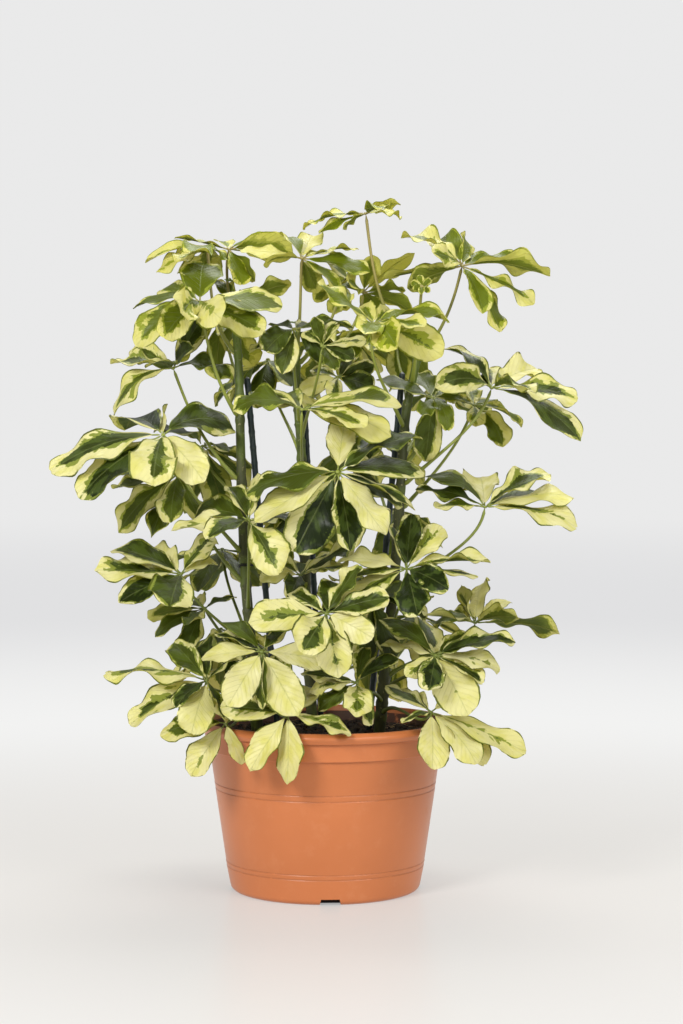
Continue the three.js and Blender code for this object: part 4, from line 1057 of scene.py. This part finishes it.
def seen_leaflet(leaf, tip, k):
    """A leaflet from the place of its tip: its reach, its angle round the hub and how far it falls."""
    right, up, back, show, curl = (*tip, None, None)[:5]
    grown = leaf.longest * (1 + VARY.length * wobble(leaf.index + 50, k))
    depth = sqrt(max(grown**2 - right**2 - up**2, (DEPTH * grown) ** 2))
    chord = Vector((right, back * depth, up))
    most = radians(HANG.steep)
    fall = min(max(-asin(chord.normalized().dot(leaf.normal)), -most), most)
    angle = atan2(chord.dot(leaf.across), chord.dot(leaf.down))
    place = SimpleNamespace(k=k, reach=chord.length, angle=angle, fall=fall, seen=True)
    place.show, place.curl, place.cream = show, curl, CREAM[leaf.number][k]
    return place


def counted_leaflet(leaf, angle, k):
    """A leaflet that is only counted, at an angle round the hub. Leaves without tips hang half closed."""
    grown = 1 - VARY.back * (1 - cos(angle)) + VARY.length * wobble(leaf.index + 50, k)
    tilt = wobble(leaf.index + 90, k)
    droop = 0 if leaf.number in TIPS else HANG.droop
    fall = radians(droop + VARY.tilt * tilt + VARY.stand * tilt**3)
    place = SimpleNamespace(k=k, reach=leaf.longest * grown, angle=angle, fall=fall, seen=False)
    place.show, place.curl, place.cream = None, None, leaf.cream + VARY.cream * wobble(leaf.index + 220, k)
    return place


def widest_gap(leaf, places):
    """The angle in the middle of the widest gap between leaflets. Gaps at the back count as wider."""
    angles = sorted(place.angle for place in places)
    gaps = []
    for a, b in zip(angles, [*angles[1:], angles[0] + tau]):
        middle = (a + b) / 2
        back = cos(middle) * leaf.down.y + sin(middle) * leaf.across.y
        gaps.append(((b - a) * (1.4 + back), middle))
    middle = max(gaps)[1]
    return middle - tau if middle > pi else middle


def leaflet_places(leaf):
    """All leaflets of a leaf: those with a tip of their own, and then one in each widest gap."""
    tips = TIPS.get(leaf.number, ())
    places = [seen_leaflet(leaf, tip, k) for k, tip in enumerate(tips)]
    for k in range(len(tips), leaf.count):
        angle = widest_gap(leaf, places) if tips else tau * (k + 0.5 * (leaf.index % 2)) / leaf.count
        places.append(counted_leaflet(leaf, angle + radians(VARY.angle) * wobble(leaf.index, k), k))
    return places


def roll_of(place, hub, flat, side):
    """How far a leaflet is rolled about its own length, so that the wanted share of its width shows."""
    if not place.seen:
        return 0
    sight = (EYE - hub).normalized()
    bearing = atan2(sight.dot(side), sight.dot(flat))
    now = cos(bearing)
    wanted = copysign(max(abs(now), SHOWN.least), now) if place.show is None else place.show
    turn = acos(min(max(wanted, -1), 1))
    rolls = [remainder(way - bearing, tau) for way in (turn, -turn)]
    most = radians(SHOWN.roll)
    return min(max(min(reversed(rolls), key=abs), -most), most)


# %% How one leaflet hangs


def hang(leaf, place, lift=0, swing=0):
    """One leaflet's length, width and spine."""
    i, k = leaf.index, place.k
    angle = place.angle + radians(swing)
    out = leaf.down * cos(angle) + leaf.across * sin(angle)
    side = leaf.normal.cross(out)
    fall = place.fall - radians(lift)
    level = leaf.normal * cos(fall) + out * sin(fall)
    bent = LEAFLET.curl * max(level.z, LEAFLET.level) * (1 + VARY.curl * wobble(i + 70, k))
    curl = radians(bent if place.curl is None else place.curl)
    start = fall - curl / 2
    length = place.reach * curl / 2 / sin(curl / 2)
    broad = max(1, abs(place.show or 1)) * (1 + VARY.width * wobble(i + 10, k))
    roll = roll_of(place, leaf.hub, level, side)
    twist = radians(VARY.twist) * wobble(i + 30, k) * (0.6 if place.seen else 1)
    rows = SHORT_ROWS if leaf.longest < LEAFLET.long else LONG_ROWS
    waves = [(u, LEAFLET.wave * length * share * (1 if n % 2 else -1)) for n, (u, share) in enumerate(rows)]

    def spine(u):
        """The middle at a share of the length, with the ways to the edge, out of the face and ahead."""
        slope = start + curl * u
        middle = leaf.hub + out * (length * (sin(slope) - sin(start)) / curl)
        middle += leaf.normal * (length * (cos(slope) - cos(start)) / curl)
        flat = leaf.normal * cos(slope) + out * sin(slope)
        ahead = out * cos(slope) - leaf.normal * sin(slope)
        turn = roll * min(1, u / LEAFLET.foot) + twist * u
        edge = side * cos(turn) + flat * sin(turn)
        face = flat * cos(turn) - side * sin(turn)
        return middle, edge, face, ahead

    def wave(u):
        for (a, low), (b, high) in zip(waves, waves[1:]):
            if u <= b:
                break
        return between(low, high, (u - a) / (b - a))

    found = SimpleNamespace(k=k, length=length, width=LEAFLET.width * length * broad, blunt=rows[-1][1])
    found.spine, found.wave, found.cream = spine, wave, place.cream
    return found


def is_packed(leaflet, tree):
    """Whether the tip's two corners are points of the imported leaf."""
    middle, edge, face, _ = leaflet.spine(1)
    half = edge * leaflet.width * leaflet.blunt / 2 + face * leaflet.wave(1)
    corners = (middle + half, middle - half)
    return all(tree.find(corner + face * LEAFLET.thick / 2)[2] < TOUCH for corner in corners)


def packed_points(name):
    """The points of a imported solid, in mm, ready to be searched."""
    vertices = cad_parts[name].data.vertices
    tree = KDTree(len(vertices))
    for vertex in vertices:
        tree.insert(vertex.co / MM, vertex.index)
    tree.balance()
    return tree


def packed_leaflets(leaf, tree):
    """The leaflets of a leaf as they were packed. One that was left off isn't found."""
    found = []
    for place in leaflet_places(leaf):
        choices = (hang(leaf, place, lift, swing) for lift in LIFTS for swing in SWINGS)
        found += [choice for choice in choices if is_packed(choice, tree)][:1]
    return found


# %% The rule for a stalk
STALK = SimpleNamespace(low=2.5, high=1.6, out=0.3, up=0.28, around=8, along=18)
BOWS = (0, 8, -8, 16, -16, 26, -26, 38, -38)


def stalk_path(leaf, bow):
    """The stalk's Bezier curve from the middle of its stem to its hub, bowed sideways."""
    curve = CURVES[leaf.side]
    root = curve(at_height(curve, leaf.start))
    reach = (leaf.hub - root).length
    out = Vector((leaf.hub.x - root.x, leaf.hub.y - root.y, 0)).normalized()
    aside = UP.cross(out) * bow
    first = root + aside + out * STALK.out * reach + UP * STALK.up * reach
    last = leaf.hub + aside - leaf.normal * STALK.out * reach

    def path(t):
        s = 1 - t
        return root * s**3 + first * 3 * t * s**2 + last * 3 * t * t * s + leaf.hub * t**3

    return path


def stalk_radius(t):
    return between(STALK.low, STALK.high, sqrt(t))


def packed_stalk(leaf, tree):
    """The stalk as it was packed, found by two points of the ring at two thirds of its length."""
    for bow in BOWS:
        path = stalk_path(leaf, bow)
        ahead = (path(2 / 3 + 1e-4) - path(2 / 3 - 1e-4)).normalized()
        across = (path(1) - path(0)).cross(UP)
        side = (across - ahead * across.dot(ahead)).normalized() * stalk_radius(2 / 3)
        if all(tree.find(path(2 / 3) + way)[2] < TOUCH for way in (side, -side)):
            return path
    return None


for leaf in UMBRELLAS:
    points = packed_points(f"leaf_{leaf.number:02}")
    leaf.leaflets = packed_leaflets(leaf, points)
    leaf.stalk = packed_stalk(leaf, points)
print("leaflets found:", sum(len(leaf.leaflets) for leaf in UMBRELLAS))
print("stalks not found:", [leaf.number for leaf in UMBRELLAS if leaf.stalk is None])

# %% [markdown]
# ## The blade
# A real leaflet stands on a thin stalk of its own and then widens to a rounded or notched tip. Its edge is
# wavy and has a few shallow teeth, and its two halves fold up or down along the midrib. One way would be a
# flat cut-out, but it would look like paper. Here a grid is rolled into a very flat tube: half of it is
# the glossy upper skin and half the matt underside. Its UV map keeps the place across and along the blade
# for the pattern.

# %% The blade's form
BLADE = SimpleNamespace(root=0.08, full=1.05, around=20, along=28, thick=0.5)
RIB = SimpleNamespace(radius=0.7, sunk=0.55, reach=0.92, foot=0.95, foot_sunk=0.2)
HUB = SimpleNamespace(radius=2.4, flat=0.6, around=8, rows=6)
TEETH = 7.2
HABIT = {
    "peak": (0.59, 0.06, 110), "base": (0.95, 0.15, 115), "blunt": (0.22, 0.14, 120),
    "notch": (0.012, 0.02, 130), "fold": (0.12, 0.22, 140), "ruffle": (0.22, 0.14, 150),
    "waves_a": (1.8, 0.5, 160), "waves_b": (2, 0.6, 161), "phase_a": (0, 1, 170), "phase_b": (0, 1, 171),
    "droop": (0.03, 0.07, 180), "skew": (0, 0.1, 190), "teeth": (0.018, 0.012, 200),
}


def smooth(t, low, high):
    """0 below low, 1 above high and a smooth rise between them."""
    share = min(max((t - low) / (high - low), 0), 1)
    return share * share * (3 - 2 * share)


def habit(leaf, k):
    """What sets one leaflet apart from the others, from each row's middle, spread and seed."""
    form = SimpleNamespace()
    for name, (middle, spread, seed) in HABIT.items():
        setattr(form, name, middle + spread * wobble(leaf.index + seed, k))
    return form


def blade_width(form, t):
    """Half the width at a share of the blade's length, from 0 to 1."""
    if t < form.peak:
        return sin(pi / 2 * t / form.peak) ** form.base
    past = (t - form.peak) / (1 - form.peak)
    return form.blunt + (1 - form.blunt) * (1 - past**2.3) ** 0.55


def blade_point(leaflet, form, t, v):
    """A point of the blade's middle layer, and the way out of its face."""
    u = between(BLADE.root, 1, t)
    middle, edge, face, ahead = leaflet.spine(u)
    waves, phase, other = form.waves_a, form.phase_a, form.phase_b
    if v <= 0:
        waves, phase, other = form.waves_b, form.phase_b, form.phase_a
    swing = sin(tau * (waves * t + phase))
    nibble = sin(tau * (TEETH * t + other)) * smooth(t, 0.3, 0.5)
    half = BLADE.full * leaflet.width / 2 * blade_width(form, t) * (1 + form.skew * (1 if v > 0 else -1))
    half *= 1 + form.teeth * nibble * abs(v) ** 3
    rise = leaflet.wave(u) * v + half * (form.fold * abs(v) ** 1.3 + form.ruffle * swing * v * v)
    rise -= form.droop * leaflet.length * smooth(t, 0.6, 1.3)
    back = 0.035 * v * v * t**6 + form.notch * exp(-((v / 0.35) ** 2)) * t**12
    return middle + edge * half * v + face * rise - ahead * leaflet.length * back, face


# %% Blade, rib and leaflet stalk in mesh


def painter(maps, looks):
    """What writes a leaflet's UV maps: its place on the blade first, and then its seed and colours."""

    def paint(faces, place=None):
        for face in faces:
            for loop in face.loops:
                loop[maps[0]].uv = place(loop.vert.co) if place else (0.5, 0.5)
                for layer, look in zip(maps[1:], looks):
                    loop[layer].uv = look

    return paint


def blade_place(co):
    """Across and along the blade, from 0 to 1, for a corner of the grid. Rows are closer near the tip."""
    return 1 - abs(2 * co.x), 1 - (0.5 - co.y) ** 1.3


def add_blade(bm, leaflet, form, paint):
    grid, faces = sheet(bm, BLADE.around, BLADE.along)
    for face in faces:
        face.material_index = 1 if face.calc_center_median().x < 0 else 2
    paint(faces, blade_place)
    for vert in grid:
        across, t = blade_place(vert.co)
        v = 2 * across - 1
        spot, face = blade_point(leaflet, form, t, v)
        skin = BLADE.thick / 2 * (1 - v**4) * (1 - t**16) * (1 if vert.co.x < 0 else -1)
        vert.co = (spot + face * skin) * MM
    bmesh.ops.remove_doubles(bm, verts=grid, dist=0.8 * WELD)


def add_rib(bm, leaflet, form, paint):
    """The midrib, half sunk into the underside, and the leaflet's own stalk from the hub."""

    def under(t):
        spot, face = blade_point(leaflet, form, RIB.reach * t, 0)
        return spot - face * RIB.sunk

    def foot(t):
        middle, _, face, _ = leaflet.spine(between(0.02, BLADE.root + 0.05, t))
        return middle - face * RIB.foot_sunk

    tube(bm, under, lambda t: RIB.radius * (1 - 0.85 * t) + 0.05, 5, 12, 2, paint)
    tube(bm, foot, lambda t: RIB.foot - 0.25 * t, 6, 5, 0, paint)


def colours(leaf, leaflet):
    """A leaflet's seed and cream share, how fresh it is, and how far its green leans to one side."""
    i, k = leaf.index, leaflet.k
    seed = 0.5 + 0.5 * wobble(i + 210, k)
    return (seed, leaflet.cream), (leaf.fresh + 0.15 * wobble(i + 230, k), wobble(i + 240, k) ** 3)


def leaf_mesh(leaf):
    """A whole leaf: stalk, hub and leaflets."""
    bm = bmesh.new()
    maps = [bm.loops.layers.uv.new(name) for name in ("blade", "leaflet", "growth")]
    paint = painter(maps, ((0.5, leaf.cream), (leaf.fresh, 0)))
    long = (leaf.hub - leaf.stalk(0)).length

    def radius(t):
        return stalk_radius(t) * (1 + 0.35 * exp(-t * long / 9)) - 0.35 * sin(pi * t)

    tube(bm, leaf.stalk, radius, STALK.around, STALK.along, 0, paint)
    size = {"u_segments": HUB.around, "v_segments": HUB.rows, "radius": HUB.radius}
    knob = bmesh.ops.create_uvsphere(bm, **size)["verts"]
    lean = leaf.normal.to_track_quat("Z", "X").to_matrix().to_4x4()
    put = Matrix.Scale(MM, 4) @ Matrix.Translation(leaf.hub) @ lean @ Matrix.Diagonal((1, 1, HUB.flat, 1))
    bmesh.ops.transform(bm, matrix=put, verts=knob)
    paint(faces_of(knob))
    for leaflet in leaf.leaflets:
        form = habit(leaf, leaflet.k)
        paint = painter(maps, colours(leaf, leaflet))
        add_blade(bm, leaflet, form, paint)
        add_rib(bm, leaflet, form, paint)
    bmesh.ops.recalc_face_normals(bm, faces=bm.faces)
    return bm


# %% [markdown]
# ## The pattern of a leaflet
# The green of a variegated leaflet fills its middle and runs out along the side veins in jagged tongues,
# and the rest is cream. Between the two lies a narrow band of yellow-green. One field makes all of it: a
# number that falls from the midrib to the edge, shaken by a slow noise and by a quick one that is
# stretched along the veins. Where it is above 0 the leaflet is dark green. Its cream share moves the whole
# field down, and its seed shifts the noise.

# %% The field of green


def pattern(finish):
    """The numbers that both skins of a leaflet are coloured by."""
    across, along = finish.map("blade")
    seed, cream = finish.map("leaflet")
    fresh, lean = finish.map("growth")
    v = across * 2 - 1
    side = abs(v)
    slanted = along - side * 0.16
    jag = finish.grain(finish.vector(slanted * 13, v * 2, seed * 97), 1, 5, 0.68) - 0.5
    drift = finish.grain(finish.vector(along * 1.6, v * 0.9, seed * 97 + 40), 1, 1) - 0.5
    spill = finish.grain(finish.vector(slanted * 7, v * 1.5, seed * 97 + 60), 1, 2) - 0.4
    blotch = finish.grain(finish.vector(slanted * 5, v * 1.6, seed * 97 + 80), 1, 3)
    inner = 1.02 - cream * 1.25 - cream.step(0.78, 0.92) * 0.45 + drift * 1.3 + jag * 0.6 + v * lean * 0.7
    inner = inner - side - along.step(0.72, 1.05) * 0.75
    green = inner.least(0.87 + jag * 0.35 + drift * 0.25 - side - along.step(0.8, 1.02) * 0.35)
    found = SimpleNamespace(side=side, fresh=fresh, blotch=blotch)
    found.dark = green.step(-0.01, 0.02)
    found.middling = (green + 0.03 + spill.most(0) * 1.4).step(-0.01, 0.03)
    found.rib = 1 - side.step(0.01, 0.05)
    found.veins = ((along - side * 0.34) * 9).wave().step(0.86, 1) * along.step(0.08, 0.2)
    found.edge = (side + jag * 0.05).step(0.89, 0.94) * blotch.step(0.38, 0.44)
    return found


# %% Both skins of a leaflet
UPPER = SimpleNamespace(name="leaf_upper_skin", mottled=(0.46, 0.56), rough=0.3, uneven=0.2, specular=0.27)
UPPER.deep = ((28, 40, 5), (66, 82, 30), (128, 142, 22))
UPPER.pale = ((238, 233, 174), (224, 220, 130), (221, 216, 100))
UPPER.band = ((124, 138, 62), (164, 176, 44))
UPPER.rib, UPPER.rib_share = (150, 162, 90), 0.28
UPPER.relief = (0.8, -0.5, -0.4)
UPPER.behind, UPPER.clear = ((234, 222, 92), (108, 118, 4)), 0.3

UNDER = SimpleNamespace(name="leaf_underside", mottled=(0.4, 0.6), rough=0.66, uneven=0, specular=0.3)
UNDER.deep = ((80, 98, 34), (112, 124, 50), (148, 158, 46))
UNDER.pale = ((218, 216, 150), (202, 204, 120), (204, 204, 98))
UNDER.band = ((156, 164, 72), (156, 164, 72))
UNDER.rib, UNDER.rib_share = (164, 164, 80), 0.5
UNDER.relief = (0.5, 0.7, 0)
UNDER.behind, UNDER.clear = ((222, 222, 110), (116, 146, 10)), 0.4


def leaf_skin(tones):
    """One side of the blades, and the light that comes through them, added to what the skin reflects."""
    finish = Finish(tones.name)
    look = pattern(finish)
    deep, deeper, fresh_deep = (linear(*tone) for tone in tones.deep)
    pale, paler, fresh_pale = (linear(*tone) for tone in tones.pale)
    band, fresh_band = (linear(*tone) for tone in tones.band)
    dark = finish.mix(look.fresh, finish.mix(look.blotch.step(*tones.mottled), deep, deeper), fresh_deep)
    light = finish.mix(look.fresh * 0.8, finish.mix(look.blotch.step(0.4, 0.7), pale, paler), fresh_pale)
    colour = finish.mix(look.middling, light, finish.mix(look.fresh, band, fresh_band))
    colour = finish.mix(look.dark.most(look.edge), colour, dark)
    colour = finish.mix(look.rib * tones.rib_share, colour, linear(*tones.rib))
    raised, veined, ribbed = tones.relief
    relief = finish.bump(look.blotch * raised + look.veins * veined + look.rib * ribbed, 0.5)
    rough = look.blotch * tones.uneven + tones.rough if tones.uneven else tones.rough
    inputs = {"Base_Color": colour, "Roughness": rough, "Normal": relief}
    skin = finish.surface(**inputs, Specular_IOR_Level=tones.specular)
    behind = [finish.add("ShaderNodeBsdfTranslucent", {}, {"Color": linear(*tone)}) for tone in tones.behind]
    through = finish.add("ShaderNodeMixShader", {}, {0: look.dark, 1: behind[0], 2: behind[1]})
    return finish.done(finish.add("ShaderNodeMixShader", {}, {0: tones.clear, 1: skin, 2: through}))


# %% [markdown]
# Leaf stalks are round, smooth and yellow-green. The older ones near the pot are darker and more olive,
# and the youngest at the top are brownish.

# %% Stalk skin and the leaves


def stalk_skin():
    finish = Finish("leaf_stalk")
    place = finish.place()
    height = finish.height(place)
    patches = finish.grain(place, 60, 3)
    colour = finish.mix(patches, linear(118, 128, 48), linear(152, 160, 66))
    colour = finish.mix((height + patches * 0.06).step(0.56, 0.68) * 0.7, colour, linear(150, 128, 78))
    colour = finish.mix((0.42 - height + patches * 0.1).step(0, 0.2) * 0.6, colour, linear(82, 96, 40))
    return finish.coat(Base_Color=colour, Roughness=0.42, Normal=finish.bump(patches, 0.3))


SKINS = [stalk_skin(), leaf_skin(UPPER), leaf_skin(UNDER)]
total = 0
for leaf in UMBRELLAS:
    number = f"{leaf.number:02}"
    made = piece(f"umbrella_{number}", leaf_mesh(leaf), SKINS, [f"leaf_{number}"], 60)
    total += triangles(made)
print("leaf triangles:", total)
